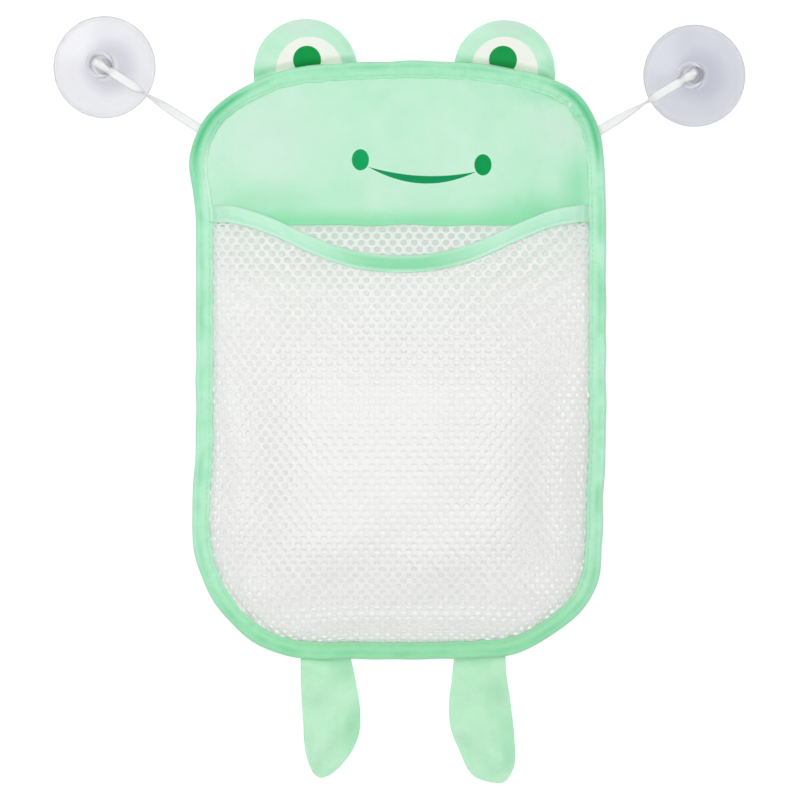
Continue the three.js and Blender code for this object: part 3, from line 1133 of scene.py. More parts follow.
@dataclass(frozen=True)
class ClearFinish:
    """Clear soft PVC with a faint lavender tint and a slightly uneven moulded skin."""

    name: str
    colour: Colour
    middle: tuple[float, float, float]
    radius: float
    knob: float
    neck: float
    shade_shift: float = 0.0028
    unevenness: float = 0.0002

    def material(self) -> Material:
        """The PVC as a material.

        Returns:
            The material.
        """
        made, wiring, shader = principled(self.name)
        place = wiring.coordinates("Object")
        cloud = effects.place(wiring, Effect.CLOUDS, place, 0.02)
        normals = wiring.bump(wiring.times(cloud, self.unevenness), 0.5)
        wiring.join(wiring.ranged(cloud, 0.0, 1.0, 0.1, 0.22), shader, "Roughness")
        wiring.join(normals, shader, "Normal")
        paler = tuple(min(255, value + 5) for value in self.colour)
        tint = wiring.blend(cloud, linear(self.colour), linear(paler))
        wiring.join(self.rings(wiring, tint, place), shader, "Base Color")
        shader.inputs["IOR"].default_value = 1.5
        shader.inputs["Transmission Weight"].default_value = 0.6
        return made

    def rings(self, wiring: Wiring, tint: Socket, place: Socket) -> Socket:
        """The tint with painted light and shade round its neck, inside its lip, on its knob and in its bore,
        and a grey line at its rim.

        Args:
            wiring: The material's nodes.
            tint: The colour of the plain disc.
            place: The object coordinates.

        Returns:
            The colour with its rings.
        """
        x, y, z = wiring.split(place)
        across = wiring.less(x, self.middle[0])
        along = wiring.less(z, self.middle[2])
        away = wiring.math("DIVIDE", wiring.distance(across, along), self.radius)
        # Round the neck: the darker tint of the thick PVC and a painted shadow of the knob, moved away from
        # the light.
        shifted = wiring.less(across, self.shade_shift)
        thick = wiring.math("DIVIDE", wiring.distance(shifted, along), self.radius)
        under = wiring.ranged(away, 0.25, 0.30, 0.15, 1.0)
        shaded = wiring.times(wiring.ranged(thick, 0.36, 0.62, 0.42, 0.0), under)
        high = wiring.ranged(wiring.times(y, -1.0), self.neck, self.neck + 0.003, 0.0, 1.0)
        inside = wiring.ranged(away, self.knob * 0.84, self.knob * 0.92, 1.0, 0.0)
        # Painted shade round the neck, a painted highlight inside the lip, a grey line at the rim, a painted
        # highlight on the knob and painted shade in its bore.
        rings = (
            (shaded, (204, 206, 222)),
            (wiring.ranged(away, 0.84, 0.92, 0.0, 0.3), (244, 245, 247)),
            (wiring.ranged(away, 0.965, 0.99, 0.0, 0.5), (200, 203, 207)),
            (high, (250, 250, 252)),
            (wiring.times(inside, high), (160, 160, 174)),
        )
        for share, ring in rings:
            tint = wiring.blend(share, tint, linear(ring))
        return tint


# The cloth parts

MINT: Colour = (208, 246, 223)
MINT_SHADE: Colour = (186, 241, 207)
TAPE: Colour = (194, 243, 215)
TAPE_SHADE: Colour = (168, 232, 192)
LEG: Colour = (202, 246, 213)
LEG_SHADE: Colour = (182, 239, 200)
INK: Colour = (0, 152, 72)
EYE_WHITE: Colour = (245, 250, 240)

# Which part of half a folded tape goes round its fold
FOLD_SHARE = 0.2

# How far each of two cloths lies from the middle of the seam that joins them
SEWN_APART = 0.00026


def folded(reach: Array, fold: float, width: float) -> tuple[Array, Array]:
    """How half of a folded tape lies, seen end on.

    Args:
        reach: From 0 at the fold to 1 at the tape's inner edge.
        fold: How far in the round of the fold reaches.
        width: How far in the tape's inner edge lies.

    Returns:
        The turn round the fold, and the distance in from the fold.
    """
    turn = np.clip(reach / FOLD_SHARE, 0, 1) * np.pi / 2
    straight = np.clip((reach - FOLD_SHARE) / (1 - FOLD_SHARE), 0, 1)
    return turn, fold * (1 - np.cos(turn)) + straight * (width - fold)


def reach_at(inset: float, fold: float, width: float) -> float:
    """Where on half of a folded tape a distance in from its fold lies."""
    return FOLD_SHARE + (1 - FOLD_SHARE) * (inset - fold) / (width - fold)


# Painted light and shade on the edge tape: painted shade at its bottom and top, painted shadows at its upper
# corners, darker down its left side, and a narrow paler strip at that side's inner edge.
EDGE_PAINTED_SHADING = (
    PaintedShadeBand((150, 224, 172), Axis.UP, -0.26, -0.312, 0.8),
    PaintedShadeBand((160, 230, 188), Axis.UP, -0.03, 0.002, 0.6),
    PaintedShadingSpot((138, 221, 176), -0.110, -0.062, 0.010, 0.036, 0.8),
    PaintedShadingSpot((140, 215, 170), -0.0985, -0.0285, 0.030, 0.028, 0.7),
    PaintedShadingSpot((144, 218, 174), 0.0985, -0.0240, 0.026, 0.026, 0.6),
    PaintedShadingSpot((208, 243, 222), -0.1040, -0.0600, 0.0060, 0.030, 0.9),
)


@dataclass
class EdgeBinding:
    """The tape that is folded over the edge of every panel and stitched down."""

    bag: BagOutline
    half: float = 0.0016
    fold: float = 0.0018
    roll: float = 0.0028
    fall_from: float = 0.004
    groove: float = 0.0072
    thickness: float = 0.0004
    pucker: float = 0.0003
    stitch_pitch: float = 0.003

    def section(self, reach: Array) -> tuple[Array, Array]:
        """The tape seen end on.

        Args:
            reach: From 0 at the fold to 1 at the tape's inner edge.

        Returns:
            The distance in from the fold, and the distance from the tape's middle.
        """
        turn, inset = folded(reach, self.fold, self.bag.tape)
        bulge = 0.0004 * np.sin(np.pi * np.clip(inset / self.roll, 0, 1))
        dip = 0.00035 * np.exp(-(((inset - self.roll) / 0.0009) ** 2))
        press = 0.00015 * np.exp(-(((inset - self.groove) / 0.0006) ** 2))
        fall = 0.00045 * ease((inset - self.fall_from) / (self.bag.tape - self.fall_from))
        return inset, self.half * np.sin(turn) + bulge - dip - press - fall

    def place(self, along: Array, across: Array) -> Array:
        """Points of the tape for shares round the bag and across the tape.

        Args:
            along: Shares of its length.
            across: Shares of its width.

        Returns:
            Rows of x, y and z.
        """
        x, z, out_x, out_z = self.bag.walk(along).T
        reach = np.abs(across - 0.5) * 2
        side = np.sign(across - 0.5)
        inset, lift = self.section(reach)
        crests = self.bag.length / 0.008
        wave = ripple(along, crests, 3) * (0.3 + 0.7 * reach) + 0.6 * ripple(along, crests / 2.7, 9)
        corner = 1 + 0.8 * ease((z - self.bag.top_line) / 0.02) * ease((np.abs(x) - 0.06) / 0.02)
        held = ease(reach / 0.25) * (1 - 0.6 * ease((reach - 0.75) / 0.25))
        lift = lift + self.pucker * corner * wave * held
        inset = inset + 0.00028 * ripple(along, self.bag.length / 0.013, 5) * reach**2
        inset = inset + 0.00018 * ripple(along, self.bag.length / 0.03, 8) * (1 - reach)
        return points(x - out_x * inset, self.bag.plane + side * lift, z - out_z * inset)

    def threads(self, side: int) -> tuple[Array, Array, Array]:
        """Where the stitches of one side lie.

        Args:
            side: -1 for the front and 1 for the back.

        Returns:
            The middles of the stitches, the way they run and the way out of the cloth.
        """
        count = round(self.bag.length / self.stitch_pitch)
        share = (np.arange(count) + 0.5) / count
        reach = reach_at(self.groove, self.fold, self.bag.tape)
        across = 0.5 + side * np.full(count, reach) / 2
        middle = self.place(share, across)
        middle[:, 1] += side * self.thickness / 2
        _, _, out_x, out_z = self.bag.walk(share).T
        ahead = points(-out_z, np.zeros(count), out_x)
        return middle, ahead, np.tile([0.0, side, 0.0], (count, 1))

    def build(self) -> list[Piece]:
        """Makes the tape and its thread.

        Returns:
            The tape and the thread.
        """
        width = 2 * self.bag.tape
        finish = ClothFinish(
            "edge_tape", TAPE, TAPE_SHADE, Effect.RIBS, Coordinates.ALONG,
            length=self.bag.length, width=width, thread=0.0005, cloud=0.016,
            crease=0.02, crease_height=0.0003, painted_shading=EDGE_PAINTED_SHADING,
            # A painted highlight on the fold, painted shadow beside the roll that is deepest at the upper
            # corners, and painted shade in the stitched groove.
            painted_lines=(
                PaintedLine((205, 230, 212), 0.0, 0.0014, 0.4, 0.7),
                PaintedLine((100, 200, 146), self.roll, 0.0030, 0.0, 0.38, at_corners=1.0),
                PaintedLine((132, 215, 164), self.groove, 0.0009, 0.0, 0.2),
            ),
        )
        grid = sheet_grid(760, 30, self.place, ring=True)
        tape = thickened(hung(piece_from(grid, "binding_tape", finish.material())), self.thickness)
        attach(tape, "bag")
        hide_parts("edge_binding")
        # The thread takes the tape's painted light and shade.
        thread_finish = ClothFinish(
            "mint_thread", (182, 238, 205), (160, 228, 186), Effect.RIBS,
            cloud=0.03, thread=0.0002, painted_shading=EDGE_PAINTED_SHADING,
        ).material()
        front, back = self.threads(-1), self.threads(1)
        both = [np.concatenate(pair) for pair in zip(front, back)]
        thread = hung(sewn_thread("binding_thread", *both, thread_finish))
        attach(thread, "bag")
        self.bag.length
        return [tape, thread]


# Painted light and shade on the face: painted light at its upper left and its right, painted shade at its
# upper right, its right side and its lower corners, painted shadows of the puckers under the tape at its
# top, and a darker hem, partly two layers of cloth and partly painted shade.
FACE_PAINTED_SHADING = (
    PaintedShadingSpot((216, 241, 226), -0.072, -0.034, 0.050, 0.034, 0.6),
    PaintedShadingSpot((214, 240, 224), 0.086, -0.032, 0.022, 0.022, 0.6),
    PaintedShadingSpot((160, 233, 192), 0.078, -0.012, 0.030, 0.010, 0.6),
    PaintedShadingSpot((168, 234, 196), -0.070, -0.070, 0.034, 0.014, 0.5),
    PaintedShadingSpot((140, 229, 178), 0.095, -0.062, 0.014, 0.028, 0.6),
    PaintedShadingSpot((148, 220, 180), -0.0446, -0.0052, 0.0050, 0.0022, 0.7),
    PaintedShadingSpot((148, 220, 180), -0.0350, -0.0044, 0.0050, 0.0022, 0.7),
    PaintedShadingSpot((148, 220, 180), -0.0215, -0.0040, 0.0045, 0.0020, 0.6),
    PaintedShadingSpot((150, 230, 184), 0.070, -0.074, 0.036, 0.014, 0.7),
    PaintedShadeBand((146, 231, 178), Axis.UP, -0.0715, -0.0815, 0.85),
)
FACE_PRINTS = (
    Print((0, 163, 92), -0.0218, -0.0479, 0.0046, 0.0057),
    Print((0, 154, 80), 0.0440, -0.0506, 0.0046, 0.0057),
    Smile((0, 150, 88), (-0.0178, -0.0516), (0.0406, -0.0542), 0.0036, 0.0077),
)


@dataclass
class FacePanel:
    """The cloth with the printed mouth, sewn in under the tape at its top."""

    bag: BagOutline
    layer: float = -0.01555
    height: float = 0.0875
    inset: float = 0.003
    crown: float = 0.0036
    pressed: float = 0.0009
    thickness: float = 0.0006

    def depth(self, x: Array, z: Array) -> Array:
        """Where the middle of the cloth lies in y.

        Args:
            x: Distances from the middle.
            z: Heights.

        Returns:
            A y for each point.
        """
        bag = self.bag
        power = bag.top_power
        across = np.abs(x) / (bag.inner_half + self.pressed)
        along = np.maximum(0, z - bag.top_line) / (bag.top_round - bag.inner_inset + self.pressed)
        share = np.minimum(1, (across**power + along**power) ** (1 / power))
        free = 1 - share**8
        hem = bag.top - self.height
        low = ease((z - hem) / 0.03)
        upright = np.cos(2 * np.pi * x / 0.037) + 0.6 * np.cos(2 * np.pi * x / 0.023 + 1)
        folds = 0.00045 * upright * (0.4 + 0.6 * (1 - low))
        slack = 0.0012 * crumple(x, z * 0.5, 0.045, 4) + 0.00035 * crumple(x, z, 0.016, 7)
        gather = 0.00028 * ripple(x / 0.22 + 0.5, 30, 6) * ease((share - 0.8) / 0.15)
        return self.layer - free * (self.crown * mixed(0.55, 1.0, low) + folds + slack + gather)

    def place(self, along: Array, across: Array) -> Array:
        """Points of the cloth for shares across the face and up it.

        Args:
            along: Shares of its length.
            across: Shares of its width.

        Returns:
            Rows of x, y and z.
        """
        x = (self.bag.half_width - self.inset) * np.sin((along - 0.5) * np.pi)
        hem = self.bag.top - self.height + 0.0003 * ripple(along, 9, 2)
        z = mixed(hem, self.bag.top_edge(x, self.inset), across)
        return points(x, self.depth(x, z), z)

    def build(self) -> list[Piece]:
        """Makes the printed cloth.

        Returns:
            The cloth.
        """
        finish = ClothFinish(
            "face_cloth", MINT, MINT_SHADE, cloud=0.04, crease=0.03, crease_height=0.0003,
            painted_shading=FACE_PAINTED_SHADING, prints=FACE_PRINTS,
        )
        grid = sheet_grid(220, 100, self.place)
        cloth = thickened(hung(piece_from(grid, "face_cloth", finish.material())), self.thickness)
        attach(cloth, "bag")
        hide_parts("face_panel")
        flat_area(cloth)
        return [cloth]


@dataclass
class Netting:
    """Knitted net with rows of rounded holes, every other row moved by half a pitch."""

    pitch: float = 0.0057
    rise: float = 0.00355
    sides: int = 10
    hole_wide: float = 0.00182
    hole_tall: float = 0.00154
    thickness: float = 0.0004
    tuck: float = 0.003

    def cells(self, columns: int, rows: int) -> Mesh:
        """A flat field of cells in the XY plane, with the origin in its middle.

        Args:
            columns: How many cells there are in a row.
            rows: How many rows there are, an even number.

        Returns:
            The field, with its holes open.
        """
        made = bmesh.new()
        bmesh.ops.create_circle(made, cap_ends=True, segments=self.sides, radius=1)
        for vert in made.verts:
            out = np.interp(abs(vert.co.x), (0.0, 0.588, 0.951), (0.0, 0.5, 1.0))
            vert.co.x = math.copysign(self.pitch / 2 * out, vert.co.x)
            vert.co.y = math.copysign(self.rise * (0.66 - 0.32 * out), vert.co.y)
        hole = made.faces[:][0]
        bmesh.ops.inset_individual(made, faces=[hole], thickness=self.rise / 5)
        for vert in hole.verts:
            turn = math.atan2(vert.co.y / self.hole_tall, vert.co.x / self.hole_wide)
            vert.co = (self.hole_wide * math.cos(turn), self.hole_tall * math.sin(turn), 0)
        bmesh.ops.delete(made, geom=[hole], context="FACES_ONLY")
        repeat(made, (self.pitch, 0, 0), columns - 1)
        repeat(made, (self.pitch / 2, self.rise, 0), 1)
        repeat(made, (0, 2 * self.rise, 0), rows // 2 - 1)
        bmesh.ops.remove_doubles(made, verts=made.verts, dist=self.pitch / 100)
        middle = Vector((-(columns - 0.5) * self.pitch / 2, -(rows - 1) * self.rise / 2, 0))
        bmesh.ops.translate(made, verts=made.verts, vec=middle)
        return made

    def lay(self, made: Mesh, place: Place, keep: Place) -> Mesh:
        """Lays a field of cells on a surface and cuts off what lies outside.

        Args:
            made: The flat field.
            place: Gives points for distances across and up the field.
            keep: Whether the net has cloth at each x and z.

        Returns:
            The same field, laid.
        """
        flat = np.array([vert.co for vert in made.verts])
        for vert, point in zip(made.verts, place(flat[:, 0], flat[:, 1])):
            vert.co = point
        corners = np.array([vert.co for vert in made.verts])
        inside = keep(corners[:, 0], corners[:, 2])
        outside = [face for face in made.faces if not all(inside[vert.index] for vert in face.verts)]
        bmesh.ops.delete(made, geom=outside, context="FACES")
        return made

    def cut_area(self, net: Piece) -> float:
        """The area of a net's threads as they were cut, its holes left out."""
        cell = self.pitch * self.rise - math.pi * self.hole_wide * self.hole_tall
        return len(net.data.polygons) / self.sides * cell


@dataclass
class BackNet:
    """The flat net behind the pocket, sewn behind the hem of the face."""

    bag: BagOutline
    netting: Netting
    material: Material
    layer: float = -0.01445
    top: float = -0.0751
    middle_z: float = -0.19

    def place(self, across: Array, up: Array) -> Array:
        """Points of the net for distances across and up it.

        Args:
            across: Distances across the net.
            up: Distances up the net.

        Returns:
            Rows of x, y and z.
        """
        z = up + self.middle_z
        floor = self.bag.bottom_edge(across, self.bag.inner_inset)
        edge = np.minimum(self.bag.inner_half - np.abs(across), z - floor)
        slack = ease(edge / 0.03) * ease((self.top - z) / 0.03)
        sway = 0.0006 * crumple(across, z, 0.05, 12) + 0.0004 * crumple(across, z, 0.02, 13)
        return points(across, self.layer + slack * (0.0008 + sway), z)

    def keep(self, x: Array, z: Array) -> Array:
        """Whether the net reaches a point."""
        return self.bag.holds(x, z, self.netting.tuck) & (z < self.top)

    def build(self) -> list[Piece]:
        """Makes the net.

        Returns:
            The net.
        """
        cells = self.netting.lay(self.netting.cells(40, 74), self.place, self.keep)
        net = thickened(hung(piece_from(cells, "back_mesh", self.material)), self.netting.thickness)
        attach(net, "bag")
        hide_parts("back_net")
        area = self.netting.cut_area(net)
        return [net]


@dataclass
class FrontNet:
    """The front of the pocket, sewn into the edge tape and the rim tape."""

    pocket: PocketShape
    netting: Netting
    material: Material
    zero_z: float = -0.2
    table_top: float = -0.06
    half_cloth: float = 0.17

    def creases(self, x: Array, z: Array) -> Array:
        """Pull lines that run from the ends of the rim down to the middle.

        Args:
            x: Distances from the middle.
            z: Heights.

        Returns:
            How far each point is moved.
        """
        below = self.pocket.rim(x) - z
        upper = ease(below / 0.01) * (1 - ease((below - 0.03) / 0.06))
        lines = np.sin(2 * np.pi * (z - 0.55 * np.abs(x)) / 0.0105 + 1.4 * np.sin(x / 0.03))
        side = ease((self.pocket.bag.inner_half - np.abs(x)) / 0.02) * ease((np.abs(x) - 0.01) / 0.03)
        free = ease((1 - self.pocket.share(x, z)) / 0.12)
        return free * (0.0011 * upper * side * lines + 0.0011 * crumple(x, z, 0.04, 21))

    def depth(self, x: Array, z: Array) -> Array:
        """Where the middle of the net lies in y."""
        return self.pocket.depth(x, z) - self.creases(x, z)

    def place(self, across: Array, up: Array) -> Array:
        """Points of the net for distances across and up the cloth, which keep its cells even.

        Args:
            across: Distances across the cloth.
            up: Distances up the cloth.

        Returns:
            Rows of x, y and z.
        """
        bag = self.pocket.bag
        heights = np.linspace(bag.bottom, self.table_top, 260)
        middle = self.pocket.depth(np.zeros_like(heights), heights)
        reach = reach_along(heights, middle)
        zero = np.interp(self.zero_z, heights, reach)
        z = np.interp(up + zero, reach, heights)
        xs = np.linspace(0, bag.half_width, 240)
        even = np.linspace(0, self.half_cloth, 340)
        table = []
        for height in heights:
            depth = self.pocket.depth(xs, np.full_like(xs, height))
            table.append(np.interp(even, reach_along(xs, depth), xs))
        found = np.array(table)
        row = np.interp(z, heights, np.arange(len(heights)))
        column = np.clip(np.abs(across) / even[-1], 0, 1) * (len(even) - 1)
        low_row, low_column = row.astype(int), column.astype(int)
        high_row = np.minimum(low_row + 1, len(heights) - 1)
        high_column = np.minimum(low_column + 1, len(even) - 1)
        lower = mixed(found[low_row, low_column], found[low_row, high_column], column - low_column)
        upper = mixed(found[high_row, low_column], found[high_row, high_column], column - low_column)
        x = np.sign(across) * mixed(lower, upper, row - low_row)
        return points(x, self.depth(x, z), z)

    def keep(self, x: Array, z: Array) -> Array:
        """Whether the net reaches a point."""
        tuck = self.netting.tuck
        return self.pocket.bag.holds(x, z, tuck) & (z < self.pocket.rim(x) + tuck)

    def weights(self, corners: Array) -> Array:
        """How much each point goes with the rim when the mouth is pulled open.

        Args:
            corners: Rows of x, y and z.

        Returns:
            A share for each point.
        """
        x, z = corners[:, 0], corners[:, 2]
        down = 1 - ease((self.pocket.rim(x) - 0.0045 - z) / 0.12)
        side = ease((1 - self.pocket.share(x, z)) / 0.1)
        return down * side

    def build(self) -> list[Piece]:
        """Makes the net.

        Returns:
            The net.
        """
        cells = self.netting.lay(self.netting.cells(52, 84), self.place, self.keep)
        net = thickened(hung(piece_from(cells, "front_mesh", self.material)), self.netting.thickness)
        follow(net, "bag", "pocket_rim", self.weights)
        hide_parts("front_net")
        area = self.netting.cut_area(net)
        return [net]


@dataclass
class RimTape:
    """The tape folded over the rim of the pocket, its ends held under the edge tape."""

    pocket: PocketShape
    front: FrontNet
    half: float = 0.0011
    fold: float = 0.0013
    end_x: float = 0.1025
    groove: float = 0.0066
    thickness: float = 0.0006
    stitch_pitch: float = 0.003

    def place(self, along: Array, across: Array) -> Array:
        """Points of the tape for shares along the rim and across the tape.

        Args:
            along: Shares of its length.
            across: Shares of its width.

        Returns:
            Rows of x, y and z.
        """
        bag = self.pocket.bag
        x = self.end_x * np.sin((along - 0.5) * np.pi)
        reach = np.abs(across - 0.5) * 2
        side = np.sign(across - 0.5)
        turn, inset = folded(reach, self.fold, bag.tape)
        press = 0.00015 * np.exp(-(((inset - self.groove) / 0.0007) ** 2))
        roll = 0.0003 * np.sin(np.pi * np.clip(inset / self.groove, 0, 1))
        flat = mixed(0.55, 1.0, ease((self.pocket.rim_end_x + 0.001 - np.abs(x)) / 0.006))
        lift = (self.half * np.sin(turn) + roll - press) * flat
        lift = lift + 0.00014 * ripple(along, 26, 14) * reach * flat
        z = self.pocket.rim(x) + bag.tape / 2 - inset + 0.0002 * ripple(along, 9, 15)
        return points(x, self.front.depth(x, z) + side * lift, z)

    def weights(self, corners: Array) -> Array:
        """How much each point goes with the rim, which is less at its sewn ends."""
        return ease((0.1015 - np.abs(corners[:, 0])) / 0.005)

    def build(self) -> list[Piece]:
        """Makes the tape and its thread.

        Returns:
            The tape and the thread.
        """
        share = np.linspace(0, 1, 400)
        line = self.place(share, np.full_like(share, 0.5))
        length = float(np.linalg.norm(np.diff(line, axis=0), axis=1).sum())
        width = 2 * self.pocket.bag.tape
        finish = ClothFinish(
            "rim_tape", (200, 244, 219), (182, 238, 206), Effect.RIBS, Coordinates.ALONG,
            length=length, width=width, thread=0.0005, cloud=0.02, crease=0.02, crease_height=0.0003,
            # Painted shade where the middle of the rim tape bows out and faces down.
            painted_shading=(PaintedShadeBand((140, 219, 170), Axis.ACROSS, 0.055, 0.012, 0.9, both_sides=True),),
            # A painted highlight on the fold, paler edges, and painted shade in the stitched groove.
            painted_lines=(
                PaintedLine((206, 241, 220), 0.0, 0.0030, 0.6, 0.9),
                PaintedLine((202, 243, 219), self.pocket.bag.tape, 0.0026, 0.5, 0.85),
                PaintedLine((140, 218, 172), self.groove, 0.0009, 0.0, 0.12),
            ),
        )
        grid = sheet_grid(240, 26, self.place)
        tape = thickened(hung(piece_from(grid, "rim_tape", finish.material())), self.thickness)
        follow(tape, "bag", "pocket_rim", self.weights)
        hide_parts("pocket_rim_binding")
        count = round(length / self.stitch_pitch)
        at = np.linspace(0.16, 0.84, int(count * 0.9))
        reach = reach_at(self.groove, self.fold, self.pocket.bag.tape)
        rows, runs, outs = [], [], []
        for side in (-1, 1):
            across = np.full_like(at, 0.5 + side * reach / 2)
            middle = self.place(at, across)
            middle[:, 1] += side * self.thickness / 2
            rows.append(middle)
            runs.append(self.place(at + 0.002, across) - self.place(at - 0.002, across))
            outs.append(np.tile([0.0, side, 0.0], (len(at), 1)))
        finish = ClothFinish(
            "rim_thread", (196, 243, 216), (176, 234, 200), Effect.RIBS, cloud=0.03, thread=0.0002,
            # The thread takes the same painted shade in the tape's middle.
            painted_shading=(PaintedShadeBand((150, 224, 178), Axis.ACROSS, 0.055, 0.012, 0.9, both_sides=True),),
        ).material()
        thread = hung(sewn_thread(
            "rim_thread", np.concatenate(rows), np.concatenate(runs), np.concatenate(outs), finish
        ))
        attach(thread, "pocket_rim")
        return [tape, thread]


class Layer(Enum):
    """The two cloths of a flap, by the side of its middle that they lie on."""

    FRONT = -1
    BACK = 1


@dataclass
class EyeFlap:
    """A dome with a printed eye: two cloths sewn round a foam pad."""

    bag: BagOutline
    side: int
    centre_z: float = 0.0
    tuck: float = 0.0045
    behind: float = 0.0025
    pad: float = 0.0024
    cloth: float = 0.0005

    @property
    def name(self) -> str:
        """The name that the flap's body has."""
        return "left_eye" if self.side < 0 else "right_eye"

    @property
    def radius(self) -> float:
        """The flap's radius, a little less on the right."""
        return 0.0278 if self.side < 0 else 0.0272

    @property
    def centre_x(self) -> float:
        """The middle of the flap."""
        return -0.0512 if self.side < 0 else 0.0555

    def above_seam(self, x: Array, z: Array) -> Array:
        """Height of points above the bag's edge."""
        return z - self.bag.top_edge(x)

    def place(self, along: Array, across: Array, layer: Layer) -> Array:
        """Points of one cloth for shares across the flap and up it.

        Args:
            along: Shares of its length.
            across: Shares of its width.
            layer: Which of the two cloths.

        Returns:
            Rows of x, y and z.
        """
        reach = self.radius * np.sin((along - 0.5) * np.pi)
        x = self.centre_x + reach
        high = self.centre_z + np.sqrt(np.maximum(0, self.radius**2 - reach**2))
        low = np.minimum(self.bag.top_edge(x) - self.tuck, high - 0.0015)
        z = mixed(low, high, across)
        edge = self.radius - np.hypot(reach, np.maximum(0, z - self.centre_z))
        above = self.above_seam(x, z)
        full = ease(edge / 0.0045) * ease((above + 0.0005) / 0.006)
        offset = mixed(SEWN_APART, self.pad / 2 + self.cloth, full)
        back = self.behind * (1 - ease((above - 0.0002) / 0.0045))
        dent = 0.00035 * crumple(x, z, 0.02, 31 + self.side) * full
        y = self.bag.plane + layer.value * offset + back + dent
        return points(x, y, z)

    def weights(self, corners: Array) -> Array:
        """How much each point goes with the flap, nothing at the seam."""
        return ease(self.above_seam(corners[:, 0], corners[:, 2]) / 0.006)

    def foam(self) -> Mesh:
        """The pad between the two cloths.

        Returns:
            The pad's mesh.
        """
        made = bmesh.new()
        bmesh.ops.create_circle(made, cap_ends=True, segments=48, radius=self.radius - 0.0052)
        side = np.array([self.centre_x - 0.001, self.centre_x + 0.001])
        low, high = self.bag.top_edge(side)
        seam = Vector((0, (low + high) / 2 + 0.0065 - self.centre_z, 0))
        bmesh.ops.bisect_plane(
            made, geom=made.verts[:] + made.edges[:] + made.faces[:], dist=1e-6,
            plane_co=seam, plane_no=(high - low, -0.002, 0), clear_outer=True,
        )
        risen = bmesh.ops.extrude_face_region(made, geom=made.faces[:])["geom"]
        up = [item for item in risen if isinstance(item, bmesh.types.BMVert)]
        bmesh.ops.translate(made, verts=up, vec=(0, 0, self.pad))
        bmesh.ops.recalc_face_normals(made, faces=made.faces)
        rims = [edge for edge in made.edges if edge.calc_face_angle(0) > 1]
        bmesh.ops.bevel(
            made, geom=rims, offset=0.0005, segments=2, profile=0.5, affect="EDGES", material=-1
        )
        stand = Matrix.Rotation(math.pi / 2, 4, "X")
        move = Matrix.Translation((self.centre_x, self.bag.plane + self.pad / 2, self.centre_z))
        bmesh.ops.transform(made, matrix=move @ stand, verts=made.verts)
        return made

    def build(self) -> list[Piece]:
        """Makes the two cloths and the pad.

        Returns:
            The front cloth, the lining and the pad.
        """
        slope = -0.19 * self.side
        white_x = -0.0492 if self.side < 0 else 0.0555
        pupil_x = -0.0505 if self.side < 0 else 0.0548
        prints = (
            Print(EYE_WHITE, white_x, 0.0003, 0.0180, 0.0180),
            Print(INK, pupil_x, 0.0059, 0.0075, 0.0075, cut_z=0.0021, cut_slope=slope),
        )
        # Painted light and shade on the flap: a greyer painted sheen along its top and painted shade low at
        # its two sides, above the tape.
        painted_shading = (
            PaintedShadingSpot((212, 234, 221), self.centre_x + self.side * 0.004, 0.026, 0.020, 0.012, 0.7),
            PaintedShadingSpot((150, 226, 182), self.centre_x + 0.024, 0.0, 0.010, 0.010, 0.6),
            PaintedShadingSpot((150, 226, 182), self.centre_x - 0.026, -0.002, 0.009, 0.009, 0.6),
        )
        printed = ClothFinish(
            f"{self.name}_print", MINT, MINT_SHADE, cloud=0.03, painted_shading=painted_shading, prints=prints
        )
        plain = ClothFinish(f"{self.name}_lining", MINT, MINT_SHADE, cloud=0.03)
        made = []
        for layer, label, finish in ((Layer.FRONT, "cloth", printed), (Layer.BACK, "lining", plain)):
            grid = sheet_grid(72, 56, lambda u, v, chosen=layer: self.place(u, v, chosen))
            cloth = thickened(piece_from(grid, f"{self.name}_{label}", finish.material()), self.cloth)
            follow(cloth, "bag", self.name, self.weights)
            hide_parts(f"{self.name}_{'front' if layer is Layer.FRONT else 'back'}")
            size = (2 * self.radius, self.radius + self.tuck + 0.006)
            area = min(flat_area(cloth), size[0] * size[1])
            made.append(cloth)
        foam_finish = ClothFinish(f"{self.name}_foam", (247, 247, 242), (236, 236, 228), roughness=0.9)
        pad = closed(self.foam(), f"{self.name}_foam", foam_finish.material())
        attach(pad, self.name)
        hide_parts(f"{self.name}_pad")
        return [*made, pad]


# The outer and the inner edge of each leg, from its seam down to its foot
LEFT_LEG = (
    ((-0.0539, -0.3112), (-0.0539, -0.3219), (-0.0526, -0.3488), (-0.0507, -0.3681),
     (-0.0482, -0.3751), (-0.0464, -0.3781), (-0.0432, -0.3797)),
    ((-0.0280, -0.3112), (-0.0242, -0.3289), (-0.0220, -0.3450), (-0.0226, -0.3558),
     (-0.0290, -0.3692), (-0.0355, -0.3762), (-0.0398, -0.3790), (-0.0432, -0.3797)),
)
RIGHT_LEG = (
    ((0.0561, -0.3112), (0.0564, -0.3219), (0.0588, -0.3397), (0.0607, -0.3574),
     (0.0601, -0.3751), (0.0553, -0.3822), (0.0480, -0.3820)),
    ((0.0290, -0.3112), (0.0274, -0.3262), (0.0258, -0.3413), (0.0269, -0.3536),
     (0.0311, -0.3644), (0.0400, -0.3795), (0.0480, -0.3820)),
)
# Painted shade on the legs, in their folds and along their sides.
LEG_PAINTED_SHADE = (
    PaintedShadingSpot((158, 226, 182), -0.0300, -0.3225, 0.011, 0.008, 0.6),
    PaintedShadingSpot((160, 230, 184), -0.0240, -0.3560, 0.009, 0.024, 0.7),
    PaintedShadingSpot((164, 224, 182), 0.0505, -0.3335, 0.012, 0.012, 0.6),
    PaintedShadingSpot((162, 232, 190), 0.0580, -0.3640, 0.008, 0.020, 0.6),
)


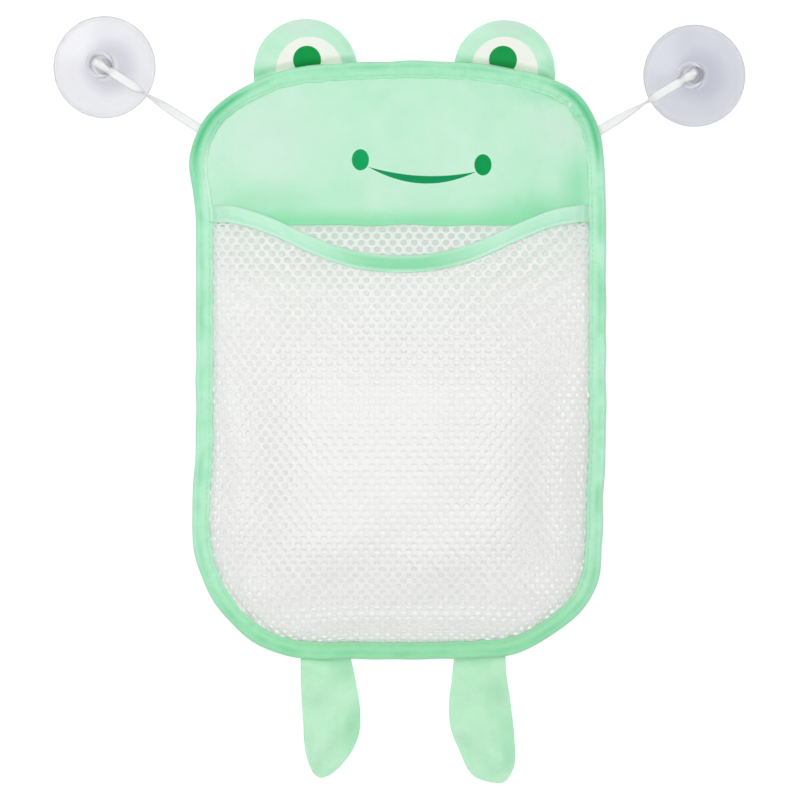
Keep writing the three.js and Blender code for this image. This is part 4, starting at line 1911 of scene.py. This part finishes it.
@dataclass
class Leg:
    """A leg: two cloths sewn edge to edge, a little full and softly folded."""

    bag: BagOutline
    side: int
    behind: float = 0.0025
    fullness: float = 0.0012
    cloth: float = 0.0005

    @property
    def name(self) -> str:
        """The name that the leg's body has."""
        return "left_leg" if self.side < 0 else "right_leg"

    def place(self, along: Array, across: Array, layer: Layer) -> Array:
        """Points of one cloth for shares down the leg and across it.

        Args:
            along: Shares of its length.
            across: Shares of its width.
            layer: Which of the two cloths.

        Returns:
            Rows of x, y and z.
        """
        outer, inner = LEFT_LEG if self.side < 0 else RIGHT_LEG
        down = along**0.9
        first, second = smooth_line(outer, down), smooth_line(inner, down)
        x = mixed(first[:, 0], second[:, 0], across)
        z = mixed(first[:, 1], second[:, 1], across)
        under = self.bag.bottom_edge(x) - z
        edge = np.minimum(np.minimum(across, 1 - across) * 0.03, (1 - along) * 0.05)
        full = ease(edge / 0.008) * ease(under / 0.012)
        offset = SEWN_APART + self.fullness * full
        back = self.behind * (1 - ease((under - 0.0002) / 0.006))
        slant = z + 0.9 * self.side * x
        drape = 0.0015 * np.sin(2 * np.pi * slant / 0.031 + 0.8) * (0.4 + 0.6 * full)
        pinch = 0.0007 * crumple(x, z, 0.014, 40 + self.side) * ease(under / 0.01)
        y = self.bag.plane + layer.value * offset + back + (drape + pinch) * ease(under / 0.015)
        return points(x, y, z)

    def weights(self, corners: Array) -> Array:
        """How much each point goes with the leg, nothing at the seam."""
        return ease((self.bag.bottom_edge(corners[:, 0]) - corners[:, 2]) / 0.006)

    def build(self) -> list[Piece]:
        """Makes the two cloths.

        Returns:
            The front cloth and the lining.
        """
        made = []
        finish = ClothFinish(
            f"{self.name}_cloth", LEG, LEG_SHADE,
            cloud=0.018, crease=0.018, crease_height=0.0003, painted_shading=LEG_PAINTED_SHADE,
        ).material()
        for layer, label, node in ((Layer.FRONT, "cloth", "front"), (Layer.BACK, "lining", "back")):
            grid = sheet_grid(96, 48, lambda u, v, chosen=layer: self.place(u, v, chosen))
            cloth = thickened(piece_from(grid, f"{self.name}_{label}", finish), self.cloth)
            follow(cloth, "bag", self.name, self.weights)
            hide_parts(f"{self.name}_{node}")
            flat_area(cloth)
            made.append(cloth)
        return made


# Cups and straps


@dataclass
class Hanger:
    """One suction cup and the elastic strap that is knotted in it."""

    bag: BagOutline
    side: int
    cup_radius: float = 0.0275
    lip: float = 0.003
    edge: float = 0.0007
    hollow: float = 0.0022
    shoulder: float = 0.013
    shoulder_height: float = 0.006
    neck: float = 0.0061
    neck_height: float = 0.0105
    knob: float = 0.0075
    knob_round: float = 0.002
    height: float = 0.0205
    bore: float = 0.0052
    bore_depth: float = 0.0083
    hole_depth: float = 0.0043
    slot_height: float = 0.009
    slot_play: float = 0.0008
    strap_width: float = 0.0047
    strap_thick: float = 0.0011
    bunched: float = 0.0045
    knot_half: float = 0.0046
    knot_end: float = 0.0026
    sewn_in: float = 0.011
    twist_at: tuple[float, float, float] = (0.0210, 0.0280, 0.0500)
    lean: float = -0.0028

    @property
    def name(self) -> str:
        """Left or right."""
        return "left" if self.side < 0 else "right"

    @property
    def rise(self) -> float:
        """How much higher the knob's end lies than its foot."""
        return 0.0012 if self.side < 0 else -0.0002

    @property
    def centre(self) -> Vector:
        """The middle of the cup's face on the wall."""
        return Vector((self.side * 0.1588 - 0.0008, 0, -self.side * 0.0023))

    @property
    def knot(self) -> Vector:
        """The middle of the knot.

        Returns:
            The point.
        """
        deep = self.height - self.hole_depth
        share = deep / self.height
        return self.centre + Vector((self.lean * share, -deep, self.rise * share))

    @property
    def entry(self) -> Vector:
        """Where the strap goes behind the edge tape.

        Returns:
            The point.
        """
        z = -0.032
        rise = ((z - self.bag.top_line) / self.bag.top_round) ** self.bag.top_power
        x = self.side * self.bag.half_width * (1 - rise) ** (1 / self.bag.top_power)
        return Vector((x, -0.01215, z))

    @staticmethod
    def bend(start: Spot, pull: Spot, end: Spot) -> list[Vector]:
        """Points on a bend from start to end, without its start.

        Args:
            start: Where it starts.
            pull: The corner that it rounds.
            end: Where it ends.

        Returns:
            The points.
        """
        found = []
        steps = 8
        for step in range(1, steps + 1):
            t = step / steps
            first, second, third = (1 - t) ** 2, 2 * t * (1 - t), t * t
            found.append(Vector(start) * first + Vector(pull) * second + Vector(end) * third)
        return found

    def profile(self) -> list[Vector]:
        """Half of the cup seen in section, as radius and height above the wall.

        Returns:
            The points, from the middle of the face round to the bore's floor.
        """
        rim, top, floor = self.cup_radius, self.height, self.height - self.bore_depth
        crest_height = self.edge * 1.3
        lip_out, side = (rim - 0.0003, 0.0), (rim, self.edge / 2)
        crest, bead = (rim - 0.0007, crest_height), (rim - 0.0016, self.edge * 1.05)
        shoulder = (self.shoulder, self.shoulder_height * 0.86)
        slope = ((rim + self.shoulder) / 2, self.shoulder_height / 2.6)
        neck = (self.neck, self.neck_height)
        knob_end = ((self.knob + self.bore) / 2, top)
        line = [Vector((0, self.hollow))]
        line += self.bend((0, self.hollow), (rim / 2, self.hollow), (rim - self.lip, 0.0))
        line += [Vector(lip_out)]
        line += self.bend(lip_out, (rim, 0.0), side)
        line += self.bend(side, (rim, crest_height), crest)
        line += self.bend(crest, (rim - 0.0012, crest_height), bead)
        line += self.bend(bead, slope, shoulder)
        line += self.bend(shoulder, (self.neck, self.shoulder_height * 1.1), neck)
        knob_foot = (self.knob, self.neck_height + self.knob_round)
        line += self.bend(neck, (self.knob, self.neck_height), knob_foot)
        line += self.bend((self.knob, top - self.knob_round), (self.knob, top), knob_end)
        line += self.bend(knob_end, (self.bore, top), (self.bore, top - 0.0012))
        line += self.bend((self.bore, floor + 0.001), (self.bore, floor), (self.bore - 0.001, floor))
        line += [Vector((0, floor))]
        return line

    def cup_mesh(self) -> Mesh:
        """The cup, spun from its profile.

        Returns:
            The cup's mesh.
        """
        made = bmesh.new()
        turned = [
            made.verts.new((self.centre.x + point.x, -point.y, self.centre.z)) for point in self.profile()
        ]
        rims = [made.edges.new(pair) for pair in zip(turned, turned[1:])]
        bmesh.ops.spin(
            made, geom=turned + rims, cent=self.centre, axis=(0, 1, 0),
            angle=2 * math.pi, steps=96, use_merge=True,
        )
        bmesh.ops.remove_doubles(made, verts=made.verts, dist=1e-6)
        bmesh.ops.recalc_face_normals(made, faces=made.faces)
        for vert in made.verts:
            vert.co.x -= self.lean * vert.co.y / self.height
            vert.co.z -= self.rise * vert.co.y / self.height
        return made

    def slotted(self, cup: Piece) -> Piece:
        """Cuts the slot for the strap into the cup's knob, open to the front.

        Args:
            cup: The cup.

        Returns:
            The same piece with its slot.
        """
        made = bmesh.new()
        bmesh.ops.create_cube(made, size=1)
        rims = [edge for edge in made.edges if all(vert.co.z < 0 for vert in edge.verts)]
        long_rims = [edge for edge in rims if edge.verts[0].co.x * edge.verts[1].co.x > 0]
        size = (self.bunched + self.slot_play, 2 * self.knob, self.slot_height)
        bmesh.ops.scale(made, vec=size, verts=made.verts)
        bmesh.ops.bevel(
            made, geom=long_rims, offset=0.0012, segments=4, profile=0.5, affect="EDGES", material=-1
        )
        way = self.entry - self.knot
        along = Vector((way.x, 0, way.z)).normalized()
        out = Vector((0, -1, 0))
        turn = Matrix((along.cross(out), along, out)).transposed().to_4x4()
        foot = self.knot + out * (self.slot_height / 2 - self.bunched / 2 - 0.0003)
        move = Matrix.Translation(foot + along * self.knob)
        bmesh.ops.transform(made, matrix=move @ turn, verts=made.verts)
        bmesh.ops.recalc_face_normals(made, faces=made.faces)
        drill = piece_from(made, "drill", cup.data.materials[0])
        cut = cup.modifiers.new("strap_hole", "BOOLEAN")
        cut.object, cut.operation, cut.solver = drill, "DIFFERENCE", "EXACT"
        graph = bpy.context.evaluated_depsgraph_get()
        mesh = bpy.data.meshes.new_from_object(cup.evaluated_get(graph))
        cup.modifiers.clear()
        cup.data = mesh
        bpy.data.objects.remove(drill)
        return cup

    def strap_place(self, along: Array, around: Array) -> Array:
        """Points of the strap for shares along it and round it.

        Args:
            along: Shares of the strap's length, from 0 to 1.
            around: Shares of the way round it.

        Returns:
            Rows of x, y and z.
        """
        free = (self.entry - self.knot).length
        ahead = (self.entry - self.knot).normalized()
        knot, bunched = self.knot_half, self.bunched / 2
        knot_share = 0.12
        narrow = self.knob - 0.002
        spread = self.knob + 0.0012
        at = np.where(
            along < knot_share,
            mixed(-knot, knot, along / knot_share),
            mixed(knot, free + self.sewn_in, (along - knot_share) / (1 - knot_share)),
        )
        rounded = np.sqrt(1 - np.clip(-at / knot, 0, 1) ** 3)
        ball = rounded * mixed(self.knot_end, bunched, ease((at + 0.001) / 0.004))
        flat = ease((at - narrow) / (spread - narrow))
        wide = mixed(ball, self.strap_width / 2, flat)
        thick = mixed(ball, self.strap_thick / 2, flat)
        turn = np.pi * np.interp(at, self.twist_at, (0.0, 0.5, 1.0))
        angle = 2 * np.pi * around
        ridges = 1 + 0.1 * np.cos(3 * angle + at / 0.0011) * (1 - flat)
        square = 1 / np.maximum(np.abs(np.cos(angle)), np.abs(np.sin(angle))) ** (0.75 * flat)
        u = np.cos(angle) * wide * ridges * square
        v = np.sin(angle) * thick * ridges * square
        sideways = Vector(ahead).cross(Vector((0, 1, 0))).normalized()
        across = u * np.cos(turn) - v * np.sin(turn)
        inwards = u * np.sin(turn) + v * np.cos(turn)
        line = np.array(self.knot) + np.outer(at, np.array(ahead))
        line[:, 1] = np.minimum(line[:, 1], self.entry.y)
        return line + np.outer(across, np.array(sideways)) + np.outer(inwards, [0.0, 1.0, 0.0])

    def strap_weights(self, corners: Array) -> Array:
        """How much each point goes with the bag, nothing at the knot."""
        ahead = np.array((self.entry - self.knot).normalized())
        return ease(((corners - np.array(self.knot)) @ ahead - 0.002) / 0.008)

    def strap_mesh(self) -> Mesh:
        """The strap as a closed tube.

        Returns:
            The strap's mesh.
        """
        made = sheet_grid(150, 20, self.strap_place)
        bmesh.ops.remove_doubles(made, verts=made.verts, dist=1e-6)
        holes = [edge for edge in made.edges if edge.is_boundary]
        bmesh.ops.holes_fill(made, edges=holes)
        return made

    def build(self) -> list[Piece]:
        """Makes the cup and its strap.

        Returns:
            The cup and the strap.
        """
        # Both cups are the same PVC: the right cup's darker tint is painted shade.
        tint = (247, 247, 251) if self.side < 0 else (230, 231, 239)
        share = self.bore / self.cup_radius
        pvc = ClearFinish(
            f"{self.name}_pvc", tint, tuple(self.centre), self.cup_radius, share, self.neck_height
        )
        cup = self.slotted(piece_from(self.cup_mesh(), f"{self.name}_cup", pvc.material()))
        cup.data.shade_smooth()
        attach(cup, "wall_cups")
        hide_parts(f"{self.name}_suction_cup")
        finish = ClothFinish(
            f"{self.name}_elastic", (249, 249, 249), (238, 238, 240), Effect.RIBS, Coordinates.ALONG,
            length=0.08, width=0.012, thread=0.0006, thread_height=0.00012, cloud=0.01, sheen=0.3,
        )
        strap = closed(self.strap_mesh(), f"{self.name}_elastic", finish.material())
        follow(strap, "wall_cups", "bag", self.strap_weights)
        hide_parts(f"{self.name}_strap")
        return [cup, strap]


# Studio


@dataclass(frozen=True)
class Lamp:
    """A soft square lamp, aimed at the middle of the object."""

    name: str
    place: tuple[float, float, float]
    size: float
    power: float
    mirrored: bool = True


@dataclass
class Studio:
    """The wall, the floor, the lamps and the camera."""

    aim: tuple[float, float, float] = (-0.00054, -0.02, -0.1769)
    view_width: float = 0.4296
    lens: float = 600.0
    floor: float = -0.46
    world: float = 0.62
    bounce: float = 1.0
    glow: float = 0.54
    wall: float = 0.0006
    shade_half: float = 0.107
    shade_middle: float = -0.156
    shade_tall: float = 0.157
    shade_power: float = 5.0
    lamps: tuple[Lamp, ...] = (
        Lamp("key", (-0.75, -1.25, 0.55), 0.9, 4.2),
        Lamp("front", (0.0, -6.0, -0.177), 0.6, 98.0, mirrored=False),
        Lamp("fill", (0.95, -1.3, -0.05), 1.2, 0.8),
    )

    def backdrop(self) -> Material:
        """Pale paint that the camera sees as white where no shadow falls, with a painted shadow behind the
        bag, clear to all other light.

        Returns:
            The material.
        """
        made, wiring, shader = principled("backdrop")
        shader.inputs["Roughness"].default_value = 0.9
        shader.inputs["Specular IOR Level"].default_value = 0.0
        path = wiring.add("ShaderNodeLightPath").outputs
        seen = wiring.math("MAXIMUM", path["Is Camera Ray"], path["Is Transmission Ray"])
        seen = wiring.math("MAXIMUM", seen, path["Is Glossy Ray"])
        place = wiring.coordinates("Object")
        paint = wiring.noise(place, 0.2)
        colour = wiring.blend(paint, linear((197, 197, 197)), linear((195, 195, 195)))
        wiring.join(colour, shader, "Base Color")
        shader.inputs["Emission Color"].default_value = (1, 1, 1, 1)
        # The glow is lowered behind the bag: a painted shadow.
        glow = wiring.less(self.glow, self.shade(wiring, place))
        wiring.join(glow, shader, "Emission Strength")
        behind = wiring.add("ShaderNodeNewGeometry").outputs["Backfacing"]
        clear = wiring.add("ShaderNodeBsdfTransparent").outputs[0]
        shown = wiring.times(seen, wiring.less(1.0, behind))
        mixer = wiring.add("ShaderNodeMixShader", {0: shown, 1: clear, 2: shader.outputs[0]})
        wiring.join(mixer.outputs[0], made.node_tree.nodes["Material Output"], "Surface")
        return made

    def shade(self, wiring: Wiring, place: Socket) -> Socket:
        """The painted shadow: how much less bright the wall is behind the bag, most behind its mouth.

        Args:
            wiring: The material's nodes.
            place: The object coordinates.

        Returns:
            What is taken off the wall's brightness.
        """
        x, _, z = wiring.split(place)
        across = wiring.unsigned(wiring.scaled(x, 0.0, self.shade_half))
        along = wiring.unsigned(wiring.scaled(z, self.shade_middle, self.shade_tall))
        away = wiring.powers(across, along, self.shade_power)
        # More painted shadow behind the pocket's mouth.
        mouth = wiring.ranged(wiring.unsigned(x), 0.045, 0.08, 0.28, 0.12)
        painted_shading = wiring.times(wiring.ranged(z, -0.12, -0.10, 0.0, 1.0), mouth)
        depth = wiring.plus(painted_shading, 0.1)
        return wiring.times(wiring.ranged(away, 0.6, 1.0, 1.0, 0.0), depth)

    def plane(self, name: str, place: Place, material: Material) -> None:
        """Adds a flat part of the studio."""
        piece_from(sheet_grid(1, 1, place), name, material)

    def build(self) -> None:
        """Makes the studio."""
        paint = self.backdrop()
        half, top, front = 1.6, 1.4, -1.8
        self.plane(
            "studio_wall",
            lambda u, v: points((u - 0.5) * 2 * half, self.wall, mixed(self.floor, top, v)),
            paint,
        )
        self.plane(
            "studio_floor",
            lambda u, v: points((u - 0.5) * 2 * half, mixed(front, self.wall, v), self.floor),
            paint,
        )
        world = bpy.data.worlds.new("studio")
        world.use_nodes = True
        bpy.context.scene.world = world
        wiring = Wiring(world.node_tree)
        path = wiring.add("ShaderNodeLightPath").outputs
        seen = wiring.math("MAXIMUM", path["Is Camera Ray"], path["Is Transmission Ray"])
        way = wiring.split(wiring.coordinates("Generated"))[1]
        unseen = wiring.less(1.0, seen)
        light = wiring.times(wiring.ranged(way, 0.1, 0.5, self.world, self.bounce), unseen)
        sky = world.node_tree.nodes["Background"]
        sky.inputs["Color"].default_value = (1, 1, 1, 1)
        wiring.join(wiring.math("MAXIMUM", light, seen), sky, "Strength")
        target = Vector(self.aim)
        for lamp in self.lamps:
            data = bpy.data.lights.new(lamp.name, "AREA")
            data.energy, data.size = lamp.power, lamp.size
            hung_lamp = self.aimed(bpy.data.objects.new(lamp.name, data), Vector(lamp.place), target)
            hung_lamp.visible_glossy = hung_lamp.visible_transmission = lamp.mirrored
        camera = bpy.data.cameras.new("camera")
        camera.lens, camera.sensor_width = self.lens, 36.0
        back = Vector((0, self.view_width / 2 / (18.0 / self.lens), 0))
        stand = self.aimed(bpy.data.objects.new("camera", camera), target - back, target)
        bpy.context.scene.camera = stand
        bpy.context.scene.view_settings.view_transform = "Standard"

    @staticmethod
    def aimed(item: Piece, place: Vector, target: Vector) -> Piece:
        """Puts a lamp or camera in its place and turns it to the target.

        Args:
            item: The lamp or camera.
            place: Where it stands.
            target: What it is turned to.

        Returns:
            The same object.
        """
        item.location = place
        item.rotation_mode = "QUATERNION"
        item.rotation_quaternion = (target - place).to_track_quat("-Z", "Y")
        bpy.context.scene.collection.objects.link(item)
        return item


def main() -> None:
    """Builds the studio and every piece, and reports each piece."""
    logging.basicConfig(level=logging.INFO, format="%(relativeCreated)6d ms  %(message)s")
    Studio().build()
    bag = BagOutline()
    pocket = PocketShape(bag)
    netting = Netting()
    front = FrontNet(pocket, netting, NetFinish("front_white_net").material())
    # Painted shade, tinted green like light off the face, on the back net behind the pocket's mouth.
    painted_mouth_shade = PaintedShadeBand((214, 229, 219), Axis.UP, -0.122, -0.100, 0.7)
    shaded = NetFinish("back_white_net", painted_shading=(painted_mouth_shade,))
    parts = [
        Hanger(bag, -1), Hanger(bag, 1), BackNet(bag, netting, shaded.material()), FacePanel(bag), front,
        RimTape(pocket, front), EdgeBinding(bag), EyeFlap(bag, -1), EyeFlap(bag, 1),
        Leg(bag, -1), Leg(bag, 1),
    ]
    for part in parts:
        for piece in part.build():
            log.info("%s: %s with %d faces", type(part).__name__, piece.name, len(piece.data.polygons))


if __name__ == "__main__":
    main()
